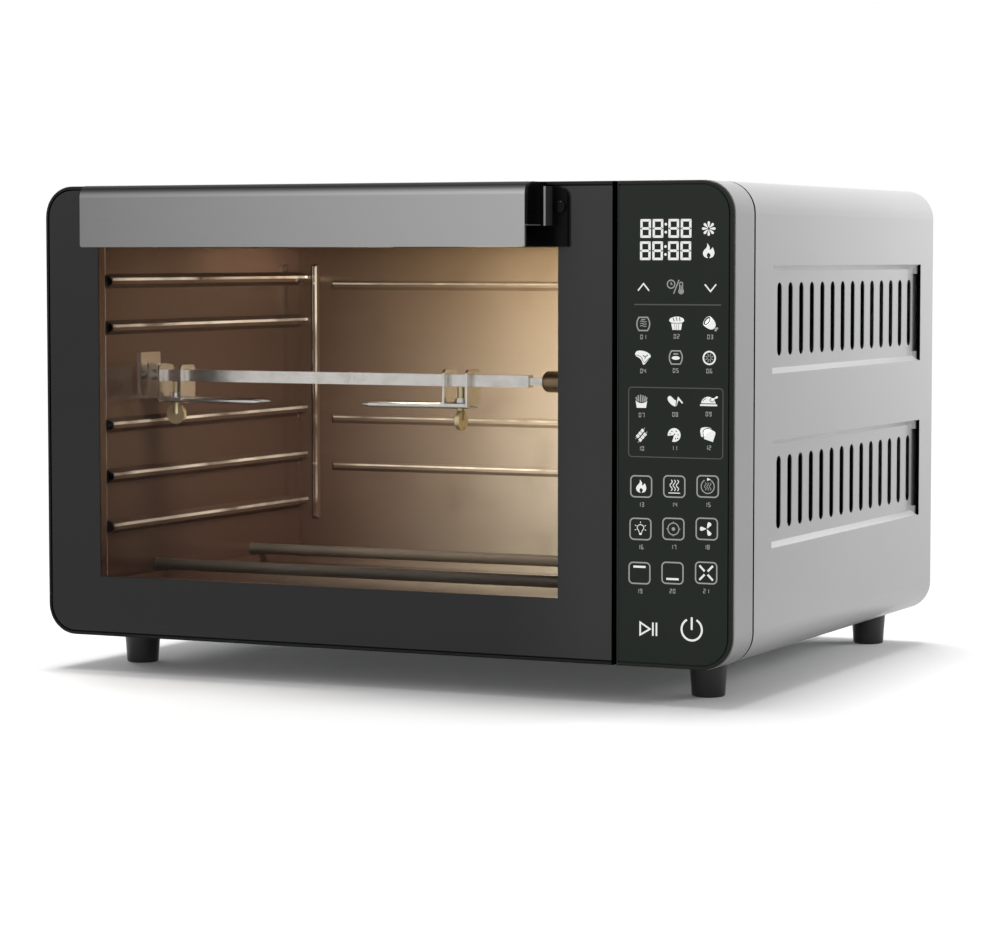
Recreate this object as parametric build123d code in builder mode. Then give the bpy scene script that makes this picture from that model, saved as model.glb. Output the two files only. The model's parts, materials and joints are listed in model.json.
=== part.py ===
from build123d import *
import math
import os

# Toaster oven with a drop-down glass door, a touch panel and a rotisserie.
# Millimetres, +Z up, origin under the middle of the whole oven on the table.
# A depth is measured backwards from the front face of the door.

# Body
body_width = 500.0
body_height = 304.0
body_depth = 399.0
corner_radius = 20.5
sheet = 0.8
fit_gap = 0.3
running_gap = 0.05

# Front frame and control panel
frame_wall = 2.5
frame_lip = 1.2
seam = 2.0
spigot_length = 6.0
panel_width = 78.6
panel_gap = 2.0
fascia_inset = 1.0
fascia_thickness = 2.0
rim_width = 2.0
gap_rim = 1.0
groove_width = 1.0
edge_round = 0.8

# Door, its panes and its hinge
hinge_height = 18.0
hinge_depth = 10.5
door_clearance = 1.5
glass_thickness = 3.2
glass_recess = 0.2
door_seat = 2.6
window_side_margin = 41.5
window_panel_margin = 38.4
window_base_margin = 40.5
window_top_margin = 40.0
reveal_side = 15.0
reveal_base = 5.0
inner_pane = 4.0
pane_overlap = 6.0
hollow_margin = 30.0
liner_ledge = 3.0
liner_recess = 8.5
hinge_pin_radius = 2.5
hinge_pin_length = 14.0
hinge_eye_radius = 4.0
hinge_arm_width = 3.0
hinge_arm_height = 7.0
hinge_plate_width = 15.0
hinge_plate_height = 15.0
hinge_eye_gap = 0.5
hinge_inset = 25.0

# Handle
handle_reach = 28.0
handle_side_margin = 45.0
handle_panel_margin = 48.7
handle_drop = 0.3
handle_height = 40.7
handle_wall = 2.5
handle_round = 8.0
handle_return = 7.0
handle_corner = 1.5
bracket_cap = 2.0
bracket_flange = 3.0
bracket_arm = 14.0
bracket_height = 27.5
bracket_round = 7.0
bracket_flange_inner = 17.0
bracket_flange_outer = 17.9
bracket_flange_left = 32.0
bracket_fillet = 6.0
handle_screw_drop = 15.9
handle_screw_inset = 4.9
handle_screw_radius = 2.0

# Feet
foot_height = 24.0
foot_top_radius = 12.5
foot_bottom_radius = 10.8
foot_side_inset = 39.0
foot_front = 58.0
foot_rear_inset = 24.0
foot_recess_radius = 5.5
foot_recess_height = 16.0
foot_screw_radius = 2.0
foot_screw_head = 2.4

# Side vents
vent_front = 67.0
vent_rear_margin = 28.5
vent_height = 68.5
vent_top_drop = 87.2
vent_base_rise = 105.5
vent_depth = 4.8
vent_draft = 3.3
vent_lip = 4.0
slot_first = 92.5
slot_rear_margin = 10.0
slot_pitch = 20.45
slot_width = 8.2
slot_length = 47.0

# Base plate
base_slot_rows = 3
base_slot_columns = 5
base_slot_spacing = 60.0
base_slot_pitch = 90.0
base_slot_length = 36.0
base_slot_width = 5.0

# Cavity
cavity_side_gap = 26.0
cavity_panel_gap = 36.4
cavity_base_gap = 29.0
cavity_roof_gap = 25.0
cavity_rear_gap = 89.0
rail_rises = (42.0, 77.0, 112.0, 179.0, 211.0)
rail_base = 10.0
rail_crest = 4.0
rail_height = 6.0
back_press = 2.5
back_rib_width = 7.0
back_rib_margin = 28.0
back_rib_rises = (69.0, 105.0, 206.0)
back_post_inset = 14.0

# Heaters
heater_radius = 4.0
heater_front = 100.0
heater_rear_gap = 75.0
top_heater_drop = 12.0
bottom_heater_rise = 11.0
insulator_radius = 7.5
insulator_length = 9.0
ring_radius = 58.0
ring_tube_radius = 3.2
ring_gap_angle = 30.0

# Convection fan
fan_depth = 215.0
fan_radius = 48.0
fan_blades = 8
fan_blade_depth = 15.0
fan_plate = 1.2
fan_hub_radius = 8.0
fan_blade_lean = 25.0
fan_side_gap = 3.0
chamber_radius = 70.0
chamber_flange = 10.0
chamber_depth = 30.0
cover_radius = 78.0
cover_depth = 11.0
cover_slots = 18
cover_taper = 30.0
cover_slot_inner = 26.0
cover_slot_margin = 18.0
cover_slot_width = 5.0
shaft_radius = 3.0
motor_radius = 30.0
motor_length = 28.0
motor_standoff = 7.0
motor_leg_radius = 4.0
cooling_radius = 38.0
cooling_blades = 6
cooling_depth = 7.0

# Rotisserie
spit_depth = 90.0
spit_rise = 145.0
spit_size = 8.0
spit_side_gap = 11.5
spit_drive_gap = 62.0
tongue_size = 5.0
tongue_length = 30.0
journal_radius = 2.5
journal_length = 8.0
collar_radius = 3.9
collar_length = 2.5
support_plate = 1.6
support_reach = 8.0
support_width = 26.0
support_drop = 16.0
fork_left_place = 10.8
fork_right_place = 51.4
fork_length = 18.6
fork_plate = 1.5
fork_width = 20.0
fork_top = 7.5
fork_drop = 17.0
fork_nut_radius = 4.5
fork_nut_height = 5.0
tine_spread = 7.0
tine_radius = 1.9
tine_length = 62.0
tine_point = 5.7
tine_cut = 1.5
thumb_radius = 7.0
thumb_thickness = 3.2
thumb_neck = 1.0
thumb_shank_radius = 2.5
socket_depth = 20.0
socket_radius = 7.0
socket_neck_radius = 5.0
socket_shaft_radius = 4.0
socket_floor = 1.0
tongue_gap = 0.2
gear_motor_width = 48.0
gear_motor_height = 58.0
gear_motor_length = 36.0
gear_can_radius = 20.0

# Lamp and sensors
lamp_rear_gap = 27.0
lamp_rise = 224.0
lens_radius = 19.0
lens_rise = 9.0
lens_wall = 2.0
lamp_hole_radius = 14.0
bulb_radius = 7.0
bulb_nose = 4.0
bulb_base_radius = 5.6
bulb_length = 20.0
lamp_socket_length = 24.0
probe_rear_gap = 160.0
probe_drop = 20.0
probe_radius = 2.5
probe_length = 55.0
probe_round = 2.0
cutout_radius = 9.0
cutout_height = 8.0

# Trays, rails and boards
tray_margin = 6.0
tray_height = 7.0
support_inset = 62.0
support_foot = 12.0
support_rail_width = 32.0
board_thickness = 1.6
power_board_width = 78.0
power_board_length = 150.0
board_leg_radius = 3.0
board_leg_inset = 6.0
power_block_columns = 2
power_block_rows = 3
power_block_spacing = 34.0
power_block_pitch = 44.0
power_block_width = 22.0
power_block_length = 26.0
power_block_height = 18.0
board_standoff = 9.0
control_board_margin = 7.0
control_chip_columns = 2
control_chip_rows = 5
control_chip_spacing = 24.0
control_chip_pitch = 44.0
control_chip_width = 14.0
control_chip_height = 20.0
display_margin = 0.3
display_height = 34.0
display_drop = 37.0
control_opening_bottom = 18.0
control_opening_side = 8.0

# Rear panel
rear_inset = 1.3
rear_plate = 1.2
rear_flange = 11.0
rear_slot_rows = 9
rear_slot_columns = 3
rear_slot_pitch = 13.0
rear_slot_length = 62.0
rear_slot_width = 4.5
rear_slot_spacing = 78.0
rear_screw_radius = 1.8
gland_radius = 8.0
gland_lip = 3.0
gland_side_inset = 64.0
gland_rise = 38.0

# Places worked out from the sizes above
half_width = body_width / 2
bottom_z = foot_height
top_z = foot_height + body_height
mid_z = (bottom_z + top_z) / 2
face_y = (handle_reach - body_depth) / 2
panel_left = half_width - panel_width
door_right = panel_left - panel_gap
door_width = door_right + half_width
door_mid_x = door_right - door_width / 2
door_thickness = hinge_depth + hinge_height
hinge_z = bottom_z + hinge_height
frame_front = door_thickness + door_clearance
plate_rear = frame_front + frame_wall
frame_depth = plate_rear + frame_lip
wrap_front = frame_depth + seam
seat_front = glass_recess + glass_thickness
seat_rear = seat_front + door_seat
cavity_left = cavity_side_gap - half_width
cavity_right = door_right - cavity_panel_gap
cavity_bottom = bottom_z + cavity_base_gap
cavity_top = top_z - cavity_roof_gap
cavity_rear = body_depth - cavity_rear_gap
cavity_mid_x = (cavity_left + cavity_right) / 2
cavity_width = cavity_right - cavity_left
cavity_height = cavity_top - cavity_bottom
cavity_mid_z = (cavity_bottom + cavity_top) / 2
floor_top_z = bottom_z + 2 * sheet
fan_z = cavity_mid_z
window_left = window_side_margin - half_width
window_right = door_right - window_panel_margin
window_bottom = bottom_z + window_base_margin
window_top = top_z - window_top_margin
rear_left = window_left - reveal_side
rear_right = window_right + reveal_side
rear_bottom = window_bottom - reveal_base
rear_top = window_top + reveal_base
hinge_left_x = hinge_inset - half_width
hinge_right_x = door_right - hinge_inset
handle_left = handle_side_margin - half_width
handle_right = door_right - handle_panel_margin
handle_top = top_z - handle_drop
handle_bottom = handle_top - handle_height
bracket_low = handle_top - bracket_height
handle_screw_z = handle_top - handle_screw_drop
foot_x = half_width - foot_side_inset
foot_rear = body_depth - foot_rear_inset
vent_rear = body_depth - vent_rear_margin
vent_upper_z = top_z - vent_top_drop
vent_lower_z = bottom_z + vent_base_rise
slot_count = int((vent_rear - slot_rear_margin - slot_first) / slot_pitch) + 1
heater_rear = cavity_rear - heater_rear_gap
top_heater_z = cavity_top - top_heater_drop
bottom_heater_z = cavity_bottom + bottom_heater_rise
spit_z = cavity_bottom + spit_rise
spit_left = cavity_left + spit_side_gap
spit_shoulder = cavity_right - spit_drive_gap
tongue_end = spit_shoulder + tongue_length
socket_nose = tongue_end - socket_depth
journal_end = spit_left - journal_length
support_notch_x = cavity_left + support_reach
fork_left_x = spit_left + fork_left_place
fork_right_x = spit_shoulder - fork_right_place
lamp_depth = cavity_rear - lamp_rear_gap
lamp_z = cavity_bottom + lamp_rise
probe_depth = cavity_rear - probe_rear_gap
probe_z = cavity_top - probe_drop
display_z = top_z - display_drop
gland_x = half_width - gland_side_inset
gland_z = bottom_z + gland_rise


def front_plane(depth):
    # A sheet seen from the front: x is +X, y is +Z, and it faces the front
    return Plane(origin=(0, face_y + depth, 0), x_dir=(1, 0, 0), z_dir=(0, -1, 0))


def side_plane(x):
    # A sheet seen from the right: x is +Y, y is +Z, and it faces +X
    return Plane.YZ.offset(x)


def level(z):
    return Plane.XY.offset(z)


def save(piece, name):
    piece.part.label = name
    export_step(piece.part, f"parts/{name}.step")


os.makedirs("parts", exist_ok=True)

# Outlines in the front view, used by several pieces
with BuildSketch() as body_outline:
    with Locations((0, mid_z)):
        RectangleRounded(body_width, body_height, corner_radius)

with BuildSketch() as door_outline:
    with Locations((door_mid_x, mid_z)):
        Rectangle(door_width, body_height)
    fillet(door_outline.vertices().group_by(Axis.X)[0], corner_radius)

with BuildSketch() as panel_outline:
    with Locations((half_width - panel_width / 2, mid_z)):
        Rectangle(panel_width, body_height)
    fillet(panel_outline.vertices().group_by(Axis.X)[-1], corner_radius)

with BuildSketch() as fascia_outline:
    with Locations((panel_left, mid_z)):
        Rectangle(panel_width - fascia_inset, body_height, align=(Align.MIN, Align.CENTER))
    fillet(fascia_outline.vertices().group_by(Axis.X)[-1], corner_radius)

# Pockets in the door and the panel, and the panes set into them: the rim is narrower beside the gap
glass_inset = rim_width + groove_width
pane_gap_inset = gap_rim + fit_gap

with BuildSketch() as door_pocket:
    with Locations((rim_width - half_width, mid_z)):
        Rectangle(door_width - rim_width - gap_rim, body_height - 2 * rim_width, align=(Align.MIN, Align.CENTER))
    fillet(door_pocket.vertices().group_by(Axis.X)[0], corner_radius - rim_width)

with BuildSketch() as door_pane:
    with Locations((glass_inset - half_width, mid_z)):
        Rectangle(
            door_width - glass_inset - pane_gap_inset,
            body_height - 2 * glass_inset,
            align=(Align.MIN, Align.CENTER),
        )
    fillet(door_pane.vertices().group_by(Axis.X)[0], corner_radius - glass_inset)

with BuildSketch() as panel_pocket:
    with Locations((panel_left + gap_rim, mid_z)):
        Rectangle(
            panel_width - fascia_inset - rim_width - gap_rim,
            body_height - 2 * rim_width,
            align=(Align.MIN, Align.CENTER),
        )
    fillet(panel_pocket.vertices().group_by(Axis.X)[-1], corner_radius - rim_width)

with BuildSketch() as panel_pane:
    with Locations((panel_left + pane_gap_inset, mid_z)):
        Rectangle(
            panel_width - fascia_inset - glass_inset - pane_gap_inset,
            body_height - 2 * glass_inset,
            align=(Align.MIN, Align.CENTER),
        )
    fillet(panel_pane.vertices().group_by(Axis.X)[-1], corner_radius - glass_inset)

# Outer wrap: one bent sheet with turned-in flanges below and behind
vent_length = vent_rear - vent_front
vent_mid_y = face_y + (vent_front + vent_rear) / 2
flange_edge = foot_x - foot_top_radius - vent_lip
rear_seat = body_depth - rear_inset - rear_plate
foot_spots = [
    (side * foot_x, face_y + depth) for side in (-1, 1) for depth in (foot_front, foot_rear)
]

with BuildPart() as outer_wrap:
    with BuildSketch(front_plane(body_depth)):
        add(body_outline.sketch)
        offset(amount=-sheet, mode=Mode.SUBTRACT)
        with Locations((0, bottom_z)):
            Rectangle(2 * flange_edge, 4 * sheet, mode=Mode.SUBTRACT)
    extrude(amount=body_depth - wrap_front)
    with BuildSketch(front_plane(rear_seat)):
        add(body_outline.sketch)
        offset(amount=-sheet / 2, mode=Mode.REPLACE)
        offset(amount=-rear_flange, mode=Mode.SUBTRACT)
    extrude(amount=sheet)
    with BuildSketch(Plane.YZ):
        with Locations((vent_mid_y, vent_upper_z), (vent_mid_y, vent_lower_z)):
            Rectangle(vent_length, vent_height)
    extrude(amount=body_width, both=True, mode=Mode.SUBTRACT)
    with BuildSketch(level(bottom_z)):
        with Locations(*foot_spots):
            Circle(foot_screw_radius + running_gap)
    extrude(amount=sheet, mode=Mode.SUBTRACT)
save(outer_wrap, "outer_wrap")

# Side vents: drafted pans set into the wrap's windows, each with a row of slots and an open rear end
vent_inner = vent_depth - sheet


def vent_panel(side, centre_z, name):
    seat = Plane(
        origin=(side * (half_width - sheet), vent_mid_y, centre_z),
        x_dir=(0, side, 0),
        z_dir=(side, 0, 0),
    )
    first_slot = side * (face_y + slot_first - vent_mid_y)
    with BuildPart() as vent:
        with BuildSketch(seat):
            Rectangle(vent_length + 2 * vent_lip, vent_height + 2 * vent_lip)
        extrude(amount=-sheet)
        with BuildSketch(seat.offset(-sheet)):
            Rectangle(vent_length + 2 * sheet, vent_height + 2 * sheet)
        with BuildSketch(seat.offset(-vent_inner - sheet)):
            Rectangle(vent_length - 2 * vent_draft + 2 * sheet, vent_height - 2 * vent_draft + 2 * sheet)
        loft(ruled=True)
        with BuildSketch(seat):
            Rectangle(vent_length, vent_height)
        with BuildSketch(seat.offset(-vent_inner)):
            Rectangle(vent_length - 2 * vent_draft, vent_height - 2 * vent_draft)
        loft(ruled=True, mode=Mode.SUBTRACT)
        with BuildSketch(seat.offset(-vent_inner)):
            for index in range(slot_count):
                with Locations((first_slot + side * index * slot_pitch, 0)):
                    SlotOverall(slot_length, slot_width, rotation=90)
        extrude(amount=-2 * sheet, mode=Mode.SUBTRACT)
        with BuildSketch(seat.offset(-sheet)):
            with Locations((side * vent_length / 2, 0)):
                Rectangle(2 * vent_draft + sheet, vent_height - 4 * vent_draft)
        extrude(amount=sheet - vent_inner, mode=Mode.SUBTRACT)
    save(vent, name)


vent_panel(1, vent_upper_z, "right_vent_upper")
vent_panel(1, vent_lower_z, "right_vent_lower")
vent_panel(-1, vent_upper_z, "left_vent_upper")
vent_panel(-1, vent_lower_z, "left_vent_lower")

# Base plate: rests on the wrap's bottom flanges
base_half = half_width - corner_radius - sheet
base_front = wrap_front + spigot_length + sheet
base_rear = rear_seat - 2 * sheet
base_mid_y = face_y + (base_front + base_rear) / 2

with BuildPart() as base_plate:
    with BuildSketch(level(bottom_z + sheet)):
        with Locations((0, base_mid_y)):
            Rectangle(2 * base_half, base_rear - base_front)
        with Locations(*foot_spots):
            Circle(foot_screw_radius + running_gap, mode=Mode.SUBTRACT)
        with Locations((0, base_mid_y)):
            with GridLocations(base_slot_spacing, base_slot_pitch, base_slot_columns, base_slot_rows):
                SlotOverall(base_slot_length, base_slot_width, mode=Mode.SUBTRACT)
    extrude(amount=sheet)
save(base_plate, "base_plate")

# Feet: tapered pads with a recess for the screw that holds them
foot_web = foot_height - foot_recess_height

with BuildPart() as feet:
    for spot_x, spot_y in foot_spots:
        with BuildSketch(Plane(origin=(spot_x, spot_y, 0), x_dir=(1, 0, 0), z_dir=(0, -1, 0))):
            with BuildLine():
                Polyline(
                    (foot_screw_radius + running_gap, foot_height),
                    (foot_top_radius, foot_height),
                    (foot_bottom_radius, edge_round),
                    (foot_bottom_radius - edge_round, 0),
                    (foot_recess_radius, 0),
                    (foot_recess_radius, foot_recess_height),
                    (foot_screw_radius + running_gap, foot_recess_height),
                    close=True,
                )
            make_face()
        revolve(axis=Axis((spot_x, spot_y, 0), (0, 0, 1)))
save(feet, "feet")

with BuildPart() as foot_screws:
    with BuildSketch(level(foot_recess_height)):
        with Locations(*foot_spots):
            Circle(foot_screw_radius)
    extrude(amount=foot_web + 4 * sheet)
    with BuildSketch(level(foot_recess_height)):
        with Locations(*foot_spots):
            Circle(2 * foot_screw_radius)
    extrude(amount=-foot_screw_head)
save(foot_screws, "foot_screws")

# Front frame: one moulding with the cavity mouth and the control panel's housing
panel_mid_x = half_width - panel_width / 2
opening_height = body_height - 2 * control_opening_bottom
hinge_spots = [(hinge_left_x, hinge_z), (hinge_right_x, hinge_z)]

with BuildPart() as front_frame:
    with BuildSketch(front_plane(frame_depth)):
        add(body_outline.sketch)
    extrude(amount=frame_depth - frame_front)
    with BuildSketch(front_plane(frame_depth)):
        add(panel_outline.sketch)
    extrude(amount=frame_depth - fascia_thickness)
    with BuildSketch(front_plane(frame_depth)):
        offset(body_outline.sketch, amount=-frame_wall)
        with Locations((cavity_mid_x, cavity_mid_z)):
            Rectangle(cavity_width + 2 * frame_wall, cavity_height + 2 * frame_wall, mode=Mode.SUBTRACT)
    extrude(amount=frame_depth - plate_rear, mode=Mode.SUBTRACT)
    with BuildSketch(front_plane(frame_depth)):
        offset(panel_outline.sketch, amount=-frame_wall)
    extrude(amount=frame_depth - fascia_thickness - frame_wall, mode=Mode.SUBTRACT)
    with BuildSketch(front_plane(frame_depth)):
        with Locations((cavity_mid_x, cavity_mid_z)):
            Rectangle(cavity_width, cavity_height)
        with Locations((panel_mid_x, mid_z)):
            Rectangle(panel_width - 2 * control_opening_side, opening_height)
        with Locations(*hinge_spots):
            Rectangle(hinge_arm_width + 2 * fit_gap, hinge_arm_height + 2 * fit_gap)
    extrude(amount=frame_depth, mode=Mode.SUBTRACT)
    with BuildSketch(front_plane(wrap_front + spigot_length)):
        offset(body_outline.sketch, amount=-sheet - fit_gap)
        offset(amount=-frame_wall, mode=Mode.SUBTRACT)
    extrude(amount=wrap_front + spigot_length - plate_rear)
save(front_frame, "front_frame")

# Control panel: dark fascia with a rim, the touch glass set into it, board and display behind
fascia_pocket = fascia_thickness - sheet
panel_opening_width = panel_width - 2 * control_opening_side

with BuildPart() as control_fascia:
    with BuildSketch(front_plane(fascia_thickness)):
        add(fascia_outline.sketch)
    extrude(amount=fascia_thickness)
    fillet(control_fascia.faces().sort_by(Axis.Y)[0].edges(), edge_round)
    with BuildSketch(front_plane(fascia_pocket)):
        add(panel_pocket.sketch)
    extrude(amount=fascia_pocket, mode=Mode.SUBTRACT)
    with BuildSketch(front_plane(fascia_thickness)):
        with Locations((panel_mid_x, mid_z)):
            Rectangle(panel_opening_width, opening_height)
    extrude(amount=fascia_thickness, mode=Mode.SUBTRACT)
save(control_fascia, "control_fascia")

with BuildPart() as touch_glass:
    with BuildSketch(front_plane(fascia_pocket)):
        add(panel_pane.sketch)
    extrude(amount=fascia_pocket - glass_recess)
save(touch_glass, "touch_glass")

board_front = fascia_thickness + frame_wall

with BuildPart() as control_board:
    with BuildSketch(front_plane(board_front + board_thickness)):
        with Locations((panel_mid_x, mid_z)):
            Rectangle(panel_width - 2 * control_board_margin, opening_height + 2 * frame_wall)
    extrude(amount=board_thickness)
    with BuildSketch(front_plane(board_front + board_thickness)):
        with Locations((panel_mid_x, mid_z)):
            with GridLocations(
                control_chip_spacing, control_chip_pitch, control_chip_columns, control_chip_rows
            ):
                Rectangle(control_chip_width, control_chip_height)
    extrude(amount=-board_thickness)
save(control_board, "control_board")

with BuildPart() as display_module:
    with BuildSketch(front_plane(board_front)):
        with Locations((panel_mid_x, display_z)):
            Rectangle(panel_opening_width - 2 * display_margin, display_height)
    extrude(amount=board_front - fascia_pocket - fit_gap)
save(display_module, "display_module")

# Door: dark moulding whose lower rear edge is rolled about the hinge line
hollow_bottom = window_bottom - 2 * liner_ledge
hollow_top = top_z - 3 * liner_ledge
hollow_left = window_left - hollow_margin
hollow_right = window_right + hollow_margin - liner_ledge
hollow_mid = ((hollow_left + hollow_right) / 2, (hollow_bottom + hollow_top) / 2)
hollow_width = hollow_right - hollow_left
hollow_height = hollow_top - hollow_bottom
window_mid = ((rear_left + rear_right) / 2, (rear_bottom + rear_top) / 2)
window_width = rear_right - rear_left
window_height = rear_top - rear_bottom
liner_front = door_thickness - liner_recess
hinge_y = face_y + hinge_depth
notch_width = hinge_arm_width + 4 * fit_gap
notch_front = hinge_depth - hinge_eye_radius - hinge_eye_gap
screw_right_x = handle_right + bracket_flange_outer - handle_screw_inset
screw_left_x = handle_left + (bracket_arm + bracket_flange_left) / 2
handle_screw_spots = [(screw_right_x, handle_screw_z), (screw_left_x, handle_screw_z)]

with BuildPart() as door_frame:
    with BuildSketch(front_plane(door_thickness)):
        add(door_outline.sketch)
    extrude(amount=door_thickness)
    fillet(door_frame.faces().sort_by(Axis.Y)[0].edges(), edge_round)
    with BuildSketch(Plane.YZ):
        with BuildLine():
            Polyline(
                (hinge_y, bottom_z),
                (face_y, bottom_z),
                (face_y, top_z),
                (face_y + door_thickness, top_z),
                (face_y + door_thickness, hinge_z),
            )
            RadiusArc((face_y + door_thickness, hinge_z), (hinge_y, bottom_z), hinge_height)
        make_face()
    extrude(amount=body_width, both=True, mode=Mode.INTERSECT)
    with BuildSketch(front_plane(seat_front)):
        add(door_pocket.sketch)
    extrude(amount=seat_front, mode=Mode.SUBTRACT)
    with BuildSketch(front_plane(door_thickness)):
        with Locations(window_mid):
            Rectangle(window_width, window_height)
        with Locations(*handle_screw_spots):
            Circle(handle_screw_radius + running_gap)
    extrude(amount=door_thickness, mode=Mode.SUBTRACT)
    with BuildSketch(front_plane(liner_front)):
        with Locations(hollow_mid):
            Rectangle(hollow_width, hollow_height)
    extrude(amount=liner_front - seat_rear, mode=Mode.SUBTRACT)
    with BuildSketch(front_plane(door_thickness)):
        with Locations(hollow_mid):
            Rectangle(hollow_width + 2 * liner_ledge, hollow_height + 2 * liner_ledge)
    extrude(amount=liner_recess, mode=Mode.SUBTRACT)
    for pin_x, pin_z in hinge_spots:
        with BuildSketch(side_plane(pin_x - notch_width / 2)):
            with Locations((face_y + notch_front, hinge_z + hinge_eye_radius + hinge_eye_gap)):
                Rectangle(body_depth, body_height, align=(Align.MIN, Align.MAX))
        extrude(amount=notch_width, mode=Mode.SUBTRACT)
        with BuildSketch(side_plane(pin_x - hinge_pin_length / 2)):
            with Locations((hinge_y, hinge_z)):
                Circle(hinge_pin_radius + running_gap)
        extrude(amount=hinge_pin_length, mode=Mode.SUBTRACT)
save(door_frame, "door_frame")

with BuildPart() as door_glass:
    with BuildSketch(front_plane(seat_front)):
        add(door_pane.sketch)
        with Locations(*handle_screw_spots):
            Circle(handle_screw_radius + fit_gap, mode=Mode.SUBTRACT)
    extrude(amount=glass_thickness)
save(door_glass, "door_glass")

liner_width = window_width - pane_overlap
liner_height = window_height - pane_overlap

with BuildPart() as door_liner:
    with BuildSketch(front_plane(liner_front + sheet)):
        with Locations(hollow_mid):
            Rectangle(hollow_width + 2 * (liner_ledge - fit_gap), hollow_height + 2 * (liner_ledge - fit_gap))
        with Locations(window_mid):
            Rectangle(liner_width, liner_height, mode=Mode.SUBTRACT)
    extrude(amount=sheet)
    with BuildSketch(front_plane(door_thickness - sheet)):
        with Locations(window_mid):
            Rectangle(liner_width + 4 * sheet, liner_height + 4 * sheet)
            Rectangle(liner_width, liner_height, mode=Mode.SUBTRACT)
    extrude(amount=door_thickness - 2 * sheet - liner_front)
save(door_liner, "door_liner")

pane_height = window_height + pane_overlap
with BuildPart() as door_inner_glass:
    with BuildSketch(front_plane(liner_front)):
        with Locations((window_mid[0], hollow_bottom + fit_gap + pane_height / 2)):
            Rectangle(window_width + 2 * pane_overlap, pane_height)
    extrude(amount=inner_pane)
save(door_inner_glass, "door_inner_glass")

# Hinges: a plate arm with an eye on each side, fixed behind the front frame, and its pin
def hinge_bracket(pin_x, name):
    with BuildPart() as bracket:
        with BuildSketch(side_plane(pin_x - hinge_arm_width / 2)):
            with Locations((hinge_y, hinge_z)):
                Circle(hinge_eye_radius)
                Rectangle(
                    plate_rear + sheet - hinge_depth, hinge_arm_height, align=(Align.MIN, Align.CENTER)
                )
                Circle(hinge_pin_radius + running_gap, mode=Mode.SUBTRACT)
        extrude(amount=hinge_arm_width)
        with BuildSketch(front_plane(plate_rear + 2 * sheet)):
            with Locations((pin_x, hinge_z)):
                Rectangle(hinge_plate_width, hinge_plate_height)
        extrude(amount=2 * sheet)
    save(bracket, name)


hinge_bracket(hinge_left_x, "hinge_bracket_left")
hinge_bracket(hinge_right_x, "hinge_bracket_right")

with BuildPart() as hinge_pins:
    for pin_x, pin_z in hinge_spots:
        with BuildSketch(side_plane(pin_x - hinge_pin_length / 2)):
            with Locations((hinge_y, hinge_z)):
                Circle(hinge_pin_radius)
        extrude(amount=hinge_pin_length)
save(hinge_pins, "hinge_pins")

# Handle: a bent grey bar carried by two black brackets on the door glass
bar_front_y = face_y - handle_reach
glass_front_y = face_y + glass_recess
arm_root_y = glass_front_y - bracket_flange / 2
flange_top = top_z - glass_inset - fit_gap

with BuildPart() as handle_bar:
    with BuildSketch(side_plane(handle_left)):
        with BuildLine():
            bar_front = Line((bar_front_y, handle_bottom), (bar_front_y, handle_top - handle_round))
            bar_bend = RadiusArc(
                bar_front @ 1, (bar_front_y + handle_round, handle_top), handle_round
            )
            Line(bar_bend @ 1, (bar_front_y + handle_round + handle_return, handle_top))
            offset(amount=handle_wall, side=Side.RIGHT)
        make_face()
    extrude(amount=handle_right - handle_left)
    fillet(handle_bar.edges().filter_by(Axis.Y).group_by(Axis.Z)[0], handle_corner)
save(handle_bar, "handle_bar")

arm_front_y = bar_front_y + handle_wall + fit_gap
arm_top = handle_top - handle_wall - fit_gap
arm_round = handle_round - handle_wall
web_reach = bracket_cap + bracket_fillet
web_front_y = glass_front_y - bracket_flange - bracket_fillet


def handle_bracket(end_x, side, cap, flange_inner, flange_outer, name):
    # The cap closes the bar's end, the arm stands behind the bar, and a hollow web leads to the flange
    with BuildPart() as bracket:
        with BuildSketch(side_plane(end_x)):
            with BuildLine():
                cap_front = Line((bar_front_y, bracket_low), (bar_front_y, handle_top - handle_round))
                cap_bend = RadiusArc(
                    cap_front @ 1, (bar_front_y + handle_round, handle_top), handle_round
                )
                Polyline(
                    cap_bend @ 1,
                    (arm_root_y, handle_top),
                    (arm_root_y, bracket_low),
                    cap_front @ 0,
                )
            make_face()
        extrude(amount=side * cap)
        with BuildSketch(side_plane(end_x)):
            with BuildLine():
                arm_face = Line((arm_front_y, bracket_low), (arm_front_y, arm_top - arm_round))
                arm_bend = RadiusArc(arm_face @ 1, (arm_front_y + arm_round, arm_top), arm_round)
                Polyline(
                    arm_bend @ 1,
                    (arm_root_y, arm_top),
                    (arm_root_y, bracket_low),
                    arm_face @ 0,
                )
            make_face()
        extrude(amount=-side * bracket_arm)
        with BuildSketch(front_plane(glass_recess)) as flange:
            with Locations(((flange_inner + flange_outer) / 2, (handle_bottom + flange_top) / 2)):
                Rectangle(abs(flange_outer - flange_inner), flange_top - handle_bottom)
            fillet(flange.vertices().group_by(Axis.Y)[-1], bracket_round)
            with Locations(*handle_screw_spots):
                Circle(handle_screw_radius + running_gap, mode=Mode.SUBTRACT)
        extrude(amount=bracket_flange)
        with BuildSketch(level(bracket_low)):
            with Locations((end_x + side * web_reach / 2, (arm_root_y + web_front_y) / 2)):
                Rectangle(web_reach, arm_root_y - web_front_y)
            with Locations((end_x + side * web_reach, web_front_y)):
                Circle(bracket_fillet - fit_gap, mode=Mode.SUBTRACT)
        extrude(amount=arm_top - bracket_low)
    save(bracket, name)


handle_bracket(
    handle_right,
    1,
    bracket_cap,
    handle_right - bracket_flange_inner,
    handle_right + bracket_flange_outer,
    "handle_bracket_right",
)
handle_bracket(
    handle_left,
    -1,
    fit_gap,
    handle_left + bracket_flange_left,
    handle_left - web_reach,
    "handle_bracket_left",
)

flange_front = glass_recess - bracket_flange

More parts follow.
